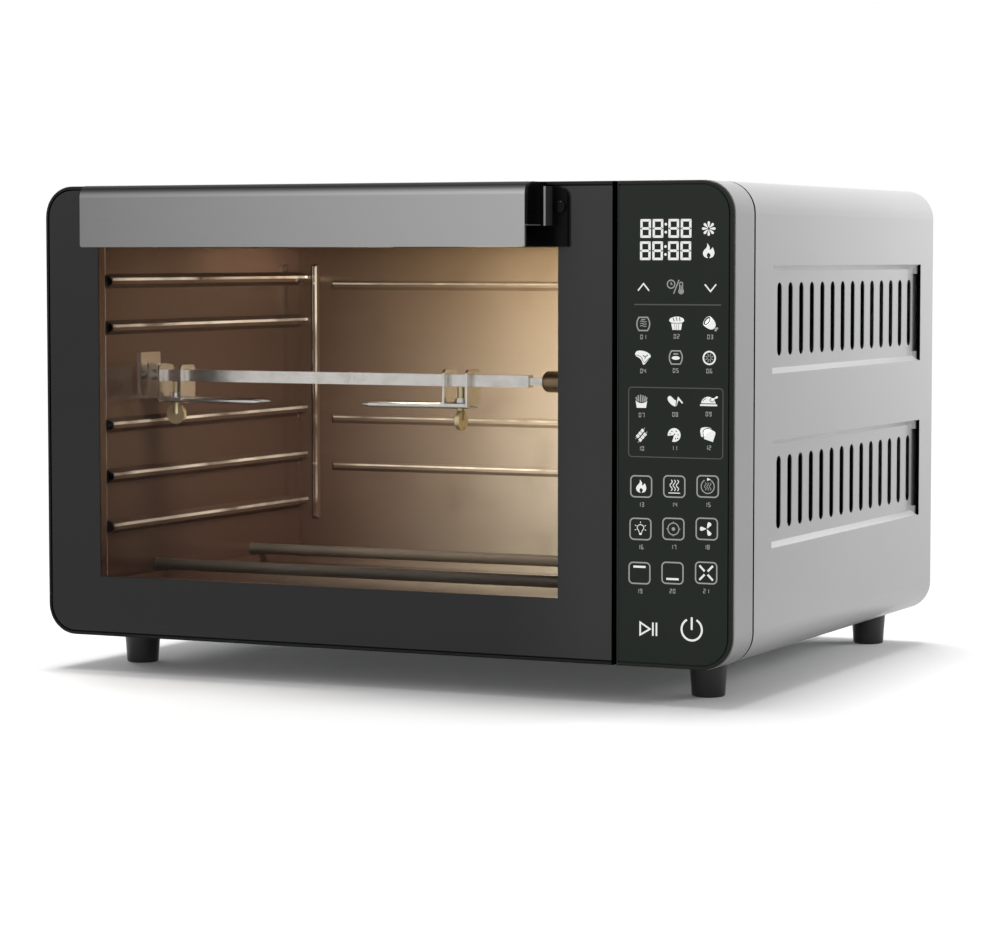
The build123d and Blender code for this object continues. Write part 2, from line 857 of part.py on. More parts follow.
with BuildPart() as handle_screws:
    with BuildSketch(front_plane(seat_rear)):
        with Locations(*handle_screw_spots):
            Circle(handle_screw_radius)
    extrude(amount=seat_rear - flange_front)
    with BuildSketch(front_plane(flange_front)):
        with Locations(*handle_screw_spots):
            Circle(2 * handle_screw_radius)
    extrude(amount=handle_screw_radius)
    fillet(handle_screws.faces().sort_by(Axis.Y)[:2].edges(), handle_screw_radius / 2)
save(handle_screws, "handle_screws")

# Cavity: five separate sheets. The side walls have pressed rack rails, and the right one flat pads
cavity_front = frame_depth
cavity_length = cavity_rear - cavity_front
heater_spots = [
    (face_y + depth, z) for depth in (heater_front, heater_rear) for z in (top_heater_z, bottom_heater_z)
]
spit_y = face_y + spit_depth
lamp_y = face_y + lamp_depth
probe_y = face_y + probe_depth
fan_y = face_y + fan_depth


def wall_profile(x, inward):
    # Upward line of the wall's inner face, stepping inward at each rail
    points = [(x, cavity_bottom)]
    for rise in rail_rises:
        z = cavity_bottom + rise
        points.append((x, z - rail_base / 2))
        points.append((x + inward * rail_height, z - rail_crest / 2))
        points.append((x + inward * rail_height, z + rail_crest / 2))
        points.append((x, z + rail_base / 2))
    points.append((x, cavity_top))
    return points


with BuildPart() as cavity_left_wall:
    with BuildSketch(front_plane(cavity_rear)):
        with BuildLine():
            Polyline(*wall_profile(cavity_left, 1))
            offset(amount=sheet, side=Side.LEFT)
        make_face()
    extrude(amount=cavity_length)
    with BuildSketch(side_plane(cavity_left)):
        with Locations(*heater_spots):
            Circle(heater_radius + fit_gap)
    extrude(amount=-2 * sheet, mode=Mode.SUBTRACT)
save(cavity_left_wall, "cavity_left_wall")

with BuildPart() as cavity_right_wall:
    with BuildSketch(front_plane(cavity_rear)):
        with BuildLine():
            Polyline(*wall_profile(cavity_right, -1))
            offset(amount=sheet, side=Side.RIGHT)
        make_face()
    extrude(amount=cavity_length)
    with BuildSketch(side_plane(cavity_right)):
        with Locations(*heater_spots):
            Circle(heater_radius + fit_gap)
        with Locations((spit_y, spit_z)):
            Circle(socket_neck_radius + 2 * fit_gap)
        with Locations((probe_y, probe_z)):
            Circle(probe_radius + fit_gap)
    extrude(amount=2 * sheet, mode=Mode.SUBTRACT)
    with BuildSketch(side_plane(cavity_right - rail_height)):
        with Locations((lamp_y, lamp_z)):
            Circle(lens_radius + lens_wall)
        with Locations((fan_y, fan_z)):
            Circle(cover_radius + lens_wall)
    extrude(amount=2 * rail_height, mode=Mode.SUBTRACT)
    with BuildSketch(side_plane(cavity_right)):
        with Locations((lamp_y, lamp_z)):
            Circle(lens_radius + lens_wall)
            Circle(lamp_hole_radius, mode=Mode.SUBTRACT)
        with Locations((fan_y, fan_z)):
            Circle(cover_radius + lens_wall)
            Circle(chamber_radius - chamber_flange / 2, mode=Mode.SUBTRACT)
    extrude(amount=sheet)
save(cavity_right_wall, "cavity_right_wall")

cavity_mid_y = face_y + (cavity_front + cavity_rear) / 2
outer_width = cavity_width + 2 * sheet

with BuildPart() as cavity_floor:
    with BuildSketch(level(cavity_bottom)):
        with Locations((cavity_mid_x, cavity_mid_y + sheet / 2)):
            Rectangle(outer_width, cavity_length + sheet)
    extrude(amount=-sheet)
save(cavity_floor, "cavity_floor")

with BuildPart() as cavity_roof:
    with BuildSketch(level(cavity_top)):
        with Locations((cavity_mid_x, cavity_mid_y + sheet / 2)):
            Rectangle(outer_width, cavity_length + sheet)
    extrude(amount=sheet)
save(cavity_roof, "cavity_roof")

# Back wall with three pressed ribs across it and an upright one beside each corner
back_rib_length = cavity_width - 2 * back_rib_margin
back_post_height = cavity_height - 2 * back_rib_margin
back_ribs = [(cavity_mid_x, cavity_bottom + rise, back_rib_length, back_rib_width) for rise in back_rib_rises]
back_posts = [
    (post_x, cavity_mid_z, back_rib_width, back_post_height)
    for post_x in (cavity_left + back_post_inset, cavity_right - back_post_inset)
]

with BuildPart() as cavity_back:
    with BuildSketch(front_plane(cavity_rear + sheet)):
        with Locations((cavity_mid_x, cavity_mid_z)):
            Rectangle(outer_width, cavity_height)
    extrude(amount=sheet)
    # Each rib is a raised trapezoid in front of the sheet with the same hollow behind it
    for behind, rib_mode in ((0, Mode.ADD), (sheet, Mode.SUBTRACT)):
        for rib_x, rib_z, rib_length, rib_height in back_ribs + back_posts:
            with BuildSketch(front_plane(cavity_rear + behind)):
                with Locations((rib_x, rib_z)):
                    Rectangle(rib_length - behind, rib_height - behind)
            with BuildSketch(front_plane(cavity_rear + behind - back_press)):
                with Locations((rib_x, rib_z)):
                    Rectangle(rib_length - behind - 2 * back_press, rib_height - behind - 2 * back_press)
            loft(ruled=True, mode=rib_mode)
save(cavity_back, "cavity_back")

# Fan housing: a round pan outside the right wall
housing_left = cavity_right + sheet
housing_right = housing_left + chamber_depth
ring_spots = [
    (
        fan_y + side * ring_radius * math.sin(math.radians(ring_gap_angle / 2)),
        fan_z - ring_radius * math.cos(math.radians(ring_gap_angle / 2)),
    )
    for side in (-1, 1)
]

with BuildPart() as fan_housing:
    with BuildSketch(side_plane(housing_left)):
        with Locations((fan_y, fan_z)):
            Circle(chamber_radius)
    extrude(amount=chamber_depth)
    with BuildSketch(side_plane(housing_left)):
        with Locations((fan_y, fan_z)):
            Circle(chamber_radius + chamber_flange)
    extrude(amount=sheet)
    with BuildSketch(side_plane(housing_left)):
        with Locations((fan_y, fan_z)):
            Circle(chamber_radius - sheet)
    extrude(amount=chamber_depth - sheet, mode=Mode.SUBTRACT)
    with BuildSketch(side_plane(housing_right)):
        with Locations((fan_y, fan_z)):
            Circle(shaft_radius + sheet)
        with Locations(*ring_spots):
            Circle(ring_tube_radius + fit_gap)
    extrude(amount=-sheet, mode=Mode.SUBTRACT)
save(fan_housing, "fan_housing")

# Ring heater round the fan, open at the bottom, with both ends turned out through the housing
ring_x = housing_left + chamber_depth / 2
fan_axis = Axis((0, fan_y, fan_z), (1, 0, 0))

with BuildPart() as ring_heater:
    with BuildSketch(
        Plane(
            origin=(ring_x, *ring_spots[1]),
            x_dir=(1, 0, 0),
            z_dir=(0, math.cos(math.radians(ring_gap_angle / 2)), math.sin(math.radians(ring_gap_angle / 2))),
        )
    ):
        Circle(ring_tube_radius)
    revolve(axis=fan_axis, revolution_arc=360 - ring_gap_angle)
    with BuildSketch(side_plane(ring_x - ring_tube_radius)):
        with Locations(*ring_spots):
            Circle(ring_tube_radius)
    extrude(amount=housing_right + motor_standoff - ring_x + ring_tube_radius)
save(ring_heater, "ring_heater")

# Slotted cover over the fan
cover_slot_outer = cover_radius - cover_slot_margin

with BuildPart() as fan_cover:
    with BuildSketch(side_plane(cavity_right)):
        with Locations((fan_y, fan_z)):
            Circle(cover_radius)
    extrude(amount=-sheet)
    with BuildSketch(side_plane(cavity_right)):
        with Locations((fan_y, fan_z)):
            Circle(cover_radius - chamber_flange)
    extrude(amount=-cover_depth, taper=cover_taper)
    with BuildSketch(side_plane(cavity_right)):
        with Locations((fan_y, fan_z)):
            Circle(cover_radius - chamber_flange - sheet)
    extrude(amount=sheet - cover_depth, taper=cover_taper, mode=Mode.SUBTRACT)
    with BuildSketch(side_plane(cavity_right)):
        with Locations((fan_y, fan_z)):
            with PolarLocations((cover_slot_inner + cover_slot_outer) / 2, cover_slots):
                SlotOverall(cover_slot_outer - cover_slot_inner, cover_slot_width)
    extrude(amount=-cover_depth, mode=Mode.SUBTRACT)
save(fan_cover, "fan_cover")

# Convection fan: hub, back plate and upright blades on the motor's shaft
fan_back = housing_right - sheet - fan_side_gap

with BuildPart() as convection_fan:
    with BuildSketch(side_plane(fan_back)):
        with Locations((fan_y, fan_z)):
            Circle(fan_radius)
    extrude(amount=-fan_plate)
    with BuildSketch(side_plane(fan_back)):
        with Locations((fan_y, fan_z)):
            Circle(fan_hub_radius)
    extrude(amount=-fan_blade_depth)
    with BuildSketch(side_plane(fan_back)):
        with Locations((fan_y, fan_z)):
            with PolarLocations((fan_radius + 3 * fan_hub_radius) / 2, fan_blades):
                Rectangle(fan_radius - 3 * fan_hub_radius, fan_plate, rotation=fan_blade_lean)
    extrude(amount=-fan_blade_depth)
    with BuildSketch(side_plane(fan_back)):
        with Locations((fan_y, fan_z)):
            Circle(shaft_radius + running_gap)
    extrude(amount=-fan_blade_depth, mode=Mode.SUBTRACT)
save(convection_fan, "convection_fan")

motor_left = housing_right + motor_standoff
motor_right = motor_left + motor_length
cooling_left = motor_right + fan_side_gap

with BuildPart() as fan_motor:
    with BuildSketch(side_plane(motor_left)):
        with Locations((fan_y, fan_z)):
            Circle(motor_radius)
    extrude(amount=motor_length)
    chamfer(fan_motor.edges(), motor_leg_radius)
    with BuildSketch(side_plane(motor_left)):
        with Locations((fan_y, fan_z)):
            with PolarLocations(motor_radius - 3 * motor_leg_radius, 3, start_angle=90):
                Circle(motor_leg_radius)
    extrude(amount=-motor_standoff)
    with BuildSketch(side_plane(motor_left)):
        with Locations((fan_y, fan_z)):
            Circle(shaft_radius + running_gap)
    extrude(amount=motor_length, mode=Mode.SUBTRACT)
save(fan_motor, "fan_motor")

with BuildPart() as fan_shaft:
    with BuildSketch(side_plane(fan_back - fan_blade_depth)):
        with Locations((fan_y, fan_z)):
            Circle(shaft_radius)
    extrude(amount=cooling_left + cooling_depth - fan_back + fan_blade_depth)
save(fan_shaft, "fan_shaft")

with BuildPart() as cooling_fan:
    with BuildSketch(side_plane(cooling_left)):
        with Locations((fan_y, fan_z)):
            Circle(fan_hub_radius)
            with PolarLocations(cooling_radius / 2, cooling_blades):
                Rectangle(cooling_radius, fan_plate)
    extrude(amount=cooling_depth)
    with BuildSketch(side_plane(cooling_left)):
        with Locations((fan_y, fan_z)):
            Circle(shaft_radius + running_gap)
    extrude(amount=cooling_depth, mode=Mode.SUBTRACT)
save(cooling_fan, "cooling_fan")

# Straight tube heaters across the top and the bottom, with a ceramic cap at each end
def heater_pair(z, name):
    with BuildPart() as pair:
        with BuildSketch(side_plane(cavity_left - sheet - insulator_length)):
            with Locations((face_y + heater_front, z), (face_y + heater_rear, z)):
                Circle(heater_radius)
        extrude(amount=outer_width + 2 * insulator_length)
    save(pair, name)


heater_pair(top_heater_z, "top_heaters")
heater_pair(bottom_heater_z, "bottom_heaters")

with BuildPart() as heater_insulators:
    for x in (cavity_left - sheet - insulator_length, cavity_right + sheet):
        with BuildSketch(side_plane(x)):
            with Locations(*heater_spots):
                Circle(insulator_radius)
                Circle(heater_radius + running_gap, mode=Mode.SUBTRACT)
        extrude(amount=insulator_length)
save(heater_insulators, "heater_insulators")

# Rotisserie: square spit with a round journal, clamped forks and a driven socket
with BuildPart() as spit:
    with BuildSketch(side_plane(spit_left)):
        with Locations((spit_y, spit_z)):
            Rectangle(spit_size, spit_size)
    extrude(amount=spit_shoulder - spit_left)
    with BuildSketch(side_plane(spit_shoulder)):
        with Locations((spit_y, spit_z)):
            Rectangle(tongue_size, tongue_size)
    extrude(amount=tongue_end - spit_shoulder)
    with BuildSketch(side_plane(spit_left)):
        with Locations((spit_y, spit_z)):
            Circle(journal_radius)
    extrude(amount=journal_end - spit_left)
    chamfer(spit.faces().sort_by(Axis.X)[0].edges(), journal_radius / 2)
    with BuildSketch(side_plane(spit_left)):
        with Locations((spit_y, spit_z)):
            Circle(collar_radius)
    extrude(amount=-collar_length)
save(spit, "spit")

with BuildPart() as spit_support:
    with BuildSketch(front_plane(spit_depth + support_width / 2)):
        with BuildLine():
            Polyline(
                (cavity_left, spit_z + support_drop),
                (cavity_left, spit_z - support_drop),
                (support_notch_x, spit_z - support_drop),
                (support_notch_x, spit_z + support_drop / 2),
            )
            offset(amount=support_plate, side=Side.LEFT)
        make_face()
    extrude(amount=support_width)
    with BuildSketch(side_plane(support_notch_x)):
        with Locations((spit_y, spit_z)):
            Circle(journal_radius + running_gap)
            Rectangle(
                2 * (journal_radius + running_gap), support_drop, align=(Align.CENTER, Align.MIN)
            )
    extrude(amount=-2 * support_plate, mode=Mode.SUBTRACT)
save(spit_support, "spit_support")


def spit_fork(hub_x, direction, name):
    # Bent clamp that straddles the spit: two end plates, a floor with a nut, and two pointed tines
    start_x = hub_x - fork_length / 2
    floor_z = spit_z - fork_drop
    tine_start = hub_x - direction * fork_length / 2
    with BuildPart() as fork:
        with BuildSketch(side_plane(start_x)):
            with Locations((spit_y, floor_z)):
                Rectangle(fork_width, fork_drop + fork_top, align=(Align.CENTER, Align.MIN))
        extrude(amount=fork_length)
        fillet(fork.edges().filter_by(Axis.X).group_by(Axis.Z)[-1], fork_top / 2)
        with BuildSketch(side_plane(start_x + fork_plate)):
            with Locations((spit_y, floor_z + fork_plate)):
                Rectangle(2 * fork_width, 2 * fork_drop, align=(Align.CENTER, Align.MIN))
        extrude(amount=fork_length - 2 * fork_plate, mode=Mode.SUBTRACT)
        with BuildSketch(level(floor_z)):
            with Locations((hub_x, spit_y)):
                Circle(fork_nut_radius)
        extrude(amount=fork_nut_height)
        with BuildSketch(side_plane(tine_start)):
            with Locations((spit_y - tine_spread, floor_z), (spit_y + tine_spread, floor_z)):
                Circle(tine_radius)
        extrude(amount=direction * (fork_length + tine_length))
        tips = fork.faces().sort_by(Axis.X)[-2:] if direction > 0 else fork.faces().sort_by(Axis.X)[:2]
        chamfer(tips.edges(), length=tine_point, length2=tine_cut)
        with BuildSketch(side_plane(start_x)):
            with Locations((spit_y, spit_z)):
                Rectangle(spit_size + 2 * fit_gap, spit_size + 2 * fit_gap)
        extrude(amount=fork_length, mode=Mode.SUBTRACT)
        with BuildSketch(level(floor_z)):
            with Locations((hub_x, spit_y)):
                Circle(thumb_shank_radius + running_gap)
        extrude(amount=fork_nut_height, mode=Mode.SUBTRACT)
    save(fork, name)


spit_fork(fork_left_x, 1, "spit_fork_left")
spit_fork(fork_right_x, -1, "spit_fork_right")


def thumbscrew(hub_x, head_plane, name):
    # Short screw whose round flat head stands on edge below the clamp
    shank_top = spit_z - spit_size / 2 - 2 * fit_gap
    head_z = spit_z - fork_drop - tine_radius - thumb_neck - thumb_radius
    with BuildPart() as screw:
        with BuildSketch(level(head_z)):
            with Locations((hub_x, spit_y)):
                Circle(thumb_shank_radius)
        extrude(amount=shank_top - head_z)
        with BuildSketch(Plane(origin=(hub_x, spit_y, head_z), z_dir=head_plane)):
            Circle(thumb_radius)
        extrude(amount=thumb_thickness / 2, both=True)
    save(screw, name)


thumbscrew(fork_left_x, (0, -1, 0), "thumbscrew_left")
thumbscrew(fork_right_x, (1, 0, 0), "thumbscrew_right")

gear_bore = gear_motor_length / 2

with BuildPart() as drive_socket:
    with BuildSketch(side_plane(socket_nose)):
        with Locations((spit_y, spit_z)):
            Circle(socket_radius)
    extrude(amount=tongue_end - socket_nose + 4 * socket_floor)
    fillet(drive_socket.edges().filter_by(GeomType.CIRCLE), socket_radius / 2)
    with BuildSketch(side_plane(tongue_end)):
        with Locations((spit_y, spit_z)):
            Circle(socket_neck_radius)
    extrude(amount=cavity_right + sheet - tongue_end)
    with BuildSketch(side_plane(cavity_right + sheet)):
        with Locations((spit_y, spit_z)):
            Circle(socket_shaft_radius)
    extrude(amount=gear_bore - fit_gap)
    with BuildSketch(side_plane(socket_nose)):
        with Locations((spit_y, spit_z)):
            Rectangle(tongue_size + 2 * tongue_gap, tongue_size + 2 * tongue_gap)
    extrude(amount=tongue_end + socket_floor - socket_nose, mode=Mode.SUBTRACT)
save(drive_socket, "drive_socket")

with BuildPart() as rotisserie_motor:
    with BuildSketch(side_plane(cavity_right + sheet)):
        with Locations((spit_y, spit_z)):
            RectangleRounded(gear_motor_width, gear_motor_height, socket_radius)
    extrude(amount=gear_motor_length)
    with BuildSketch(side_plane(cavity_right + sheet)):
        with Locations((spit_y, spit_z)):
            Circle(socket_shaft_radius + running_gap)
    extrude(amount=gear_bore, mode=Mode.SUBTRACT)
    with BuildSketch(side_plane(cavity_right + sheet + gear_motor_length)):
        with Locations((spit_y, spit_z)):
            Circle(gear_can_radius)
    extrude(amount=gear_bore)
save(rotisserie_motor, "rotisserie_motor")

# Oven lamp behind a glass dome on the right wall
with BuildPart() as lamp_lens:
    with BuildSketch(Plane(origin=(cavity_right, lamp_y, lamp_z), x_dir=(0, 1, 0), z_dir=(0, 0, 1))):
        with BuildLine():
            Polyline(
                (0, lens_rise),
                (lens_radius - lens_rise / 2, lens_rise),
                (lens_radius, 0),
                (lens_radius - lens_wall, 0),
                (lens_radius - lens_wall - lens_rise / 2, lens_rise - lens_wall),
                (0, lens_rise - lens_wall),
                close=True,
            )
        make_face()
    revolve(axis=Axis((cavity_right, lamp_y, lamp_z), (-1, 0, 0)))
save(lamp_lens, "lamp_lens")

with BuildPart() as lamp_socket:
    with BuildSketch(side_plane(cavity_right + sheet)):
        with Locations((lamp_y, lamp_z)):
            Circle(lamp_hole_radius + 2 * lens_wall)
    extrude(amount=lamp_socket_length)
    with BuildSketch(side_plane(cavity_right + sheet)):
        with Locations((lamp_y, lamp_z)):
            Circle(lamp_hole_radius - lens_wall)
    extrude(amount=lamp_socket_length - 2 * lens_wall, mode=Mode.SUBTRACT)
save(lamp_socket, "lamp_socket")

bulb_base_x = cavity_right + sheet + lamp_socket_length - 2 * lens_wall

with BuildPart() as lamp_bulb:
    with BuildSketch(side_plane(bulb_base_x)):
        with Locations((lamp_y, lamp_z)):
            Circle(bulb_base_radius)
    extrude(amount=-bulb_length / 2)
    with BuildSketch(side_plane(bulb_base_x - bulb_length / 2)):
        with Locations((lamp_y, lamp_z)):
            Circle(bulb_radius)
    extrude(amount=-bulb_length / 2)
    chamfer(lamp_bulb.faces().sort_by(Axis.X)[0].edges(), bulb_nose)
save(lamp_bulb, "lamp_bulb")

# Temperature probe through the right wall, and a thermal cut-out on the roof
with BuildPart() as temperature_probe:
    with BuildSketch(side_plane(cavity_right + sheet)):
        with Locations((probe_y, probe_z)):
            Circle(probe_radius)
    extrude(amount=-probe_length)
    fillet(temperature_probe.faces().sort_by(Axis.X)[0].edges(), probe_round)
    with BuildSketch(side_plane(cavity_right + sheet)):
        with Locations((probe_y, probe_z)):
            Circle(2 * probe_radius)
    extrude(amount=2 * probe_radius)
save(temperature_probe, "temperature_probe")

with BuildPart() as thermal_cutout:
    with BuildSketch(level(cavity_top + sheet)):
        with Locations((cavity_mid_x, cavity_mid_y)):
            Circle(cutout_radius)
    extrude(amount=cutout_height)
    chamfer(thermal_cutout.faces().sort_by(Axis.Z)[-1].edges(), sheet)
save(thermal_cutout, "thermal_cutout")

# Crumb tray lying on the cavity floor
with BuildPart() as crumb_tray:
    with BuildSketch(level(cavity_bottom)):
        with Locations((cavity_mid_x, cavity_mid_y)):
            Rectangle(cavity_width - 2 * tray_margin, cavity_length - 2 * tray_margin)
    extrude(amount=tray_height)
    with BuildSketch(level(cavity_bottom + sheet)):
        with Locations((cavity_mid_x, cavity_mid_y)):
            Rectangle(cavity_width - 2 * tray_margin - 2 * sheet, cavity_length - 2 * tray_margin - 2 * sheet)
    extrude(amount=tray_height, mode=Mode.SUBTRACT)
save(crumb_tray, "crumb_tray")

# Channel rails that carry the cavity above the base plate
with BuildPart() as support_rails:
    for rail_x in (cavity_left + support_inset, cavity_right - support_inset):
        with BuildSketch(front_plane(cavity_rear - 2 * support_foot)):
            with BuildLine():
                Polyline(
                    (rail_x - support_rail_width / 2 - support_foot, floor_top_z),
                    (rail_x - support_rail_width / 2, floor_top_z),
                    (rail_x - support_rail_width / 2, cavity_bottom - 2 * sheet),
                    (rail_x + support_rail_width / 2, cavity_bottom - 2 * sheet),
                    (rail_x + support_rail_width / 2, floor_top_z),
                    (rail_x + support_rail_width / 2 + support_foot, floor_top_z),
                )
                offset(amount=sheet, side=Side.LEFT)
            make_face()
        extrude(amount=cavity_length - 6 * support_foot)
save(support_rails, "support_rails")

# Power board on four legs in the bay behind the control panel
bay_mid_x = (cavity_right + half_width) / 2
board_mid_y = face_y + body_depth / 2

with BuildPart() as power_board:
    with BuildSketch(level(floor_top_z)):
        with Locations((bay_mid_x, board_mid_y)):
            with GridLocations(
                power_board_width - 2 * board_leg_inset, power_board_length - 2 * board_leg_inset, 2, 2
            ):
                Circle(board_leg_radius)
    extrude(amount=board_standoff)
    with BuildSketch(level(floor_top_z + board_standoff)):
        with Locations((bay_mid_x, board_mid_y)):
            Rectangle(power_board_width, power_board_length)
    extrude(amount=board_thickness)
    with BuildSketch(level(floor_top_z + board_standoff)):
        with Locations((bay_mid_x, board_mid_y)):
            with GridLocations(
                power_block_spacing, power_block_pitch, power_block_columns, power_block_rows
            ):
                Rectangle(power_block_width, power_block_length)
    extrude(amount=power_block_height)
save(power_board, "power_board")

# Rear panel: slotted sheet on the wrap's rear flange, with its screws and the cord gland
screw_inset = rear_flange / 2 + sheet
screw_half = half_width - screw_inset
side_screw_levels = (bottom_z + 2 * corner_radius, top_z - 2 * corner_radius)
edge_screw_levels = (bottom_z + screw_inset, top_z - screw_inset)
side_screw_spots = [(side * screw_half, z) for side in (-1, 1) for z in side_screw_levels]
edge_screw_spots = [(side * screw_half / 2, z) for side in (-1, 1) for z in edge_screw_levels]
rear_screw_spots = side_screw_spots + edge_screw_spots

with BuildPart() as rear_panel:
    with BuildSketch(front_plane(rear_seat + rear_plate)):
        offset(body_outline.sketch, amount=-sheet - fit_gap)
        with Locations((cavity_mid_x, cavity_mid_z)):
            with GridLocations(rear_slot_spacing, rear_slot_pitch, rear_slot_columns, rear_slot_rows):
                Rectangle(rear_slot_length, rear_slot_width, mode=Mode.SUBTRACT)
        with Locations(*rear_screw_spots):
            Circle(rear_screw_radius + running_gap, mode=Mode.SUBTRACT)
        with Locations((gland_x, gland_z)):
            Circle(gland_radius + running_gap, mode=Mode.SUBTRACT)
    extrude(amount=rear_plate)
save(rear_panel, "rear_panel")

with BuildPart() as rear_screws:
    with BuildSketch(front_plane(rear_seat + rear_plate)):
        with Locations(*rear_screw_spots):
            Circle(rear_screw_radius)
    extrude(amount=rear_plate)
    with BuildSketch(front_plane(rear_seat + rear_plate)):
        with Locations(*rear_screw_spots):
            Circle(2 * rear_screw_radius)
    extrude(amount=-rear_inset)
save(rear_screws, "rear_screws")

with BuildPart() as cord_gland:
    with BuildSketch(front_plane(rear_seat + rear_plate)):
        with Locations((gland_x, gland_z)):
            Circle(gland_radius)
            Circle(gland_radius / 2, mode=Mode.SUBTRACT)
    extrude(amount=3 * rear_plate)
    with BuildSketch(front_plane(rear_seat + rear_plate)):
        with Locations((gland_x, gland_z)):
            Circle(gland_radius + gland_lip)
            Circle(gland_radius / 2, mode=Mode.SUBTRACT)
    extrude(amount=-rear_inset)
save(cord_gland, "cord_gland")
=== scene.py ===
import json
import math

import bpy
import numpy as np
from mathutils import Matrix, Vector


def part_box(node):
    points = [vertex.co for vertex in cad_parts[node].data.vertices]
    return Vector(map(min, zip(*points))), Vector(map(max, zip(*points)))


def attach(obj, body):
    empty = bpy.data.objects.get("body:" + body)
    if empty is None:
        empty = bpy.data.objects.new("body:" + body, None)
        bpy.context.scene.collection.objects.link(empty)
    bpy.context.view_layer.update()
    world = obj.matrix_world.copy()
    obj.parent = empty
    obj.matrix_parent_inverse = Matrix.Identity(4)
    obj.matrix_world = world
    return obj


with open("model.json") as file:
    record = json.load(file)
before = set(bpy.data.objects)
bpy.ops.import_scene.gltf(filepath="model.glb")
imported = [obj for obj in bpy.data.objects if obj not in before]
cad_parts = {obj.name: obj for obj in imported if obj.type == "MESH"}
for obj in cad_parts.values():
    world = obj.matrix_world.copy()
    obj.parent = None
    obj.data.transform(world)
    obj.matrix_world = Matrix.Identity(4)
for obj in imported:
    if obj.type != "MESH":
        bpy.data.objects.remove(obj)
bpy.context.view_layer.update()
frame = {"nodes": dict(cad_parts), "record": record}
nodes = frame["nodes"]
scene = bpy.context.scene
scene.view_settings.view_transform = "Standard"
print("toaster oven: frame loaded,", len(nodes), "nodes")


# shader maths: a Wire is one socket, and sums and products with it add Math nodes
def plug(tree, socket, value):
    if isinstance(value, Wire):
        tree.links.new(value.socket, socket)
    else:
        socket.default_value = value


class Wire:
    def __init__(self, tree, socket):
        self.tree = tree
        self.socket = socket

    def combine(self, operation, first, second):
        node = self.tree.nodes.new("ShaderNodeMath")
        node.operation = operation
        plug(self.tree, node.inputs[0], first)
        plug(self.tree, node.inputs[1], second)
        return Wire(self.tree, node.outputs[0])

    def __add__(self, other):
        return self.combine("ADD", self, other)

    def __radd__(self, other):
        return self.combine("ADD", other, self)

    def __rsub__(self, other):
        return self.combine("SUBTRACT", other, self)

    def __mul__(self, other):
        return self.combine("MULTIPLY", self, other)

    def __rmul__(self, other):
        return self.combine("MULTIPLY", other, self)

    def __pow__(self, other):
        return self.combine("POWER", self, other)

    def __gt__(self, other):
        return self.combine("GREATER_THAN", self, other)

    def __lt__(self, other):
        return self.combine("LESS_THAN", self, other)


class Finish:
    def __init__(self, owner):  # a new material or world
        owner.use_nodes = True
        self.owner = owner
        self.tree = owner.node_tree
        self.tree.nodes.clear()

    # the one way that any other node is made
    def add(self, kind, settings=None, sockets=None, out=0):
        node = self.tree.nodes.new(kind)
        for key, value in (settings or {}).items():
            if key == "stops":
                ramp = node.color_ramp
                while len(ramp.elements) < len(value):
                    ramp.elements.new(0.5)
                for element, (place, colour) in zip(ramp.elements, value):
                    element.position = place
                    element.color = colour
            else:
                setattr(node, key, value)
        for key, value in (sockets or {}).items():
            plug(self.tree, node.inputs[key], value)
        return Wire(self.tree, node.outputs[out]) if node.outputs else None

    def place(self, scale=(1, 1, 1)):
        spot = self.add("ShaderNodeTexCoord", out="Object")
        return self.add("ShaderNodeMapping", None, {"Vector": spot, "Scale": scale})

    def axes(self):
        spot = self.add("ShaderNodeTexCoord", out="Object")
        split = self.add("ShaderNodeSeparateXYZ", None, {"Vector": spot})
        return [Wire(self.tree, split.socket.node.outputs[i]) for i in range(3)]

    # pitch is the size of the pattern in metres
    def noise(self, pitch, detail=3.0, rough=0.55, stretch=(1, 1, 1)):
        spot = self.place(tuple(s / pitch for s in stretch))
        return self.add("ShaderNodeTexNoise", None,
                        {"Vector": spot, "Scale": 1.0, "Detail": detail, "Roughness": rough})

    def blend(self, factor, first, second):  # a colour Mix: sockets 0, 6 and 7 in, 2 out
        return self.add("ShaderNodeMix", {"data_type": "RGBA"},
                        {0: factor, 6: first, 7: second}, 2)

    def ramp(self, factor, *stops):
        return self.add("ShaderNodeValToRGB", {"stops": stops}, {"Fac": factor})

    def level(self, factor, low, high):  # spreads low..high over 0..1
        return self.add("ShaderNodeMapRange", None,
                        {"Value": factor, "From Min": low, "From Max": high})

    def patch(self, factor, low, high, share):  # spreads low..high over 0..share
        return self.level(factor, low, high) * share

    def bump(self, height, depth):
        return self.add("ShaderNodeBump", None,
                        {"Height": height, "Distance": depth, "Strength": 1.0})

    def body(self, **sockets):
        named = {key.replace("_", " "): value for key, value in sockets.items()}
        return self.add("ShaderNodeBsdfPrincipled", None, named)

    def mix(self, factor, first, second):
        return self.add("ShaderNodeMixShader", None, {0: factor, 1: first, 2: second})

    def close(self, shader, kind="ShaderNodeOutputMaterial"):
        self.add(kind, None, {"Surface": shader})
        return self.owner


def newFinish(name):
    return Finish(bpy.data.materials.new(name))


def grey(value):
    return (value, value, value, 1)


def vary(span, pattern):  # a base value, and how much the pattern adds to it
    return span[0] + span[1] * pattern


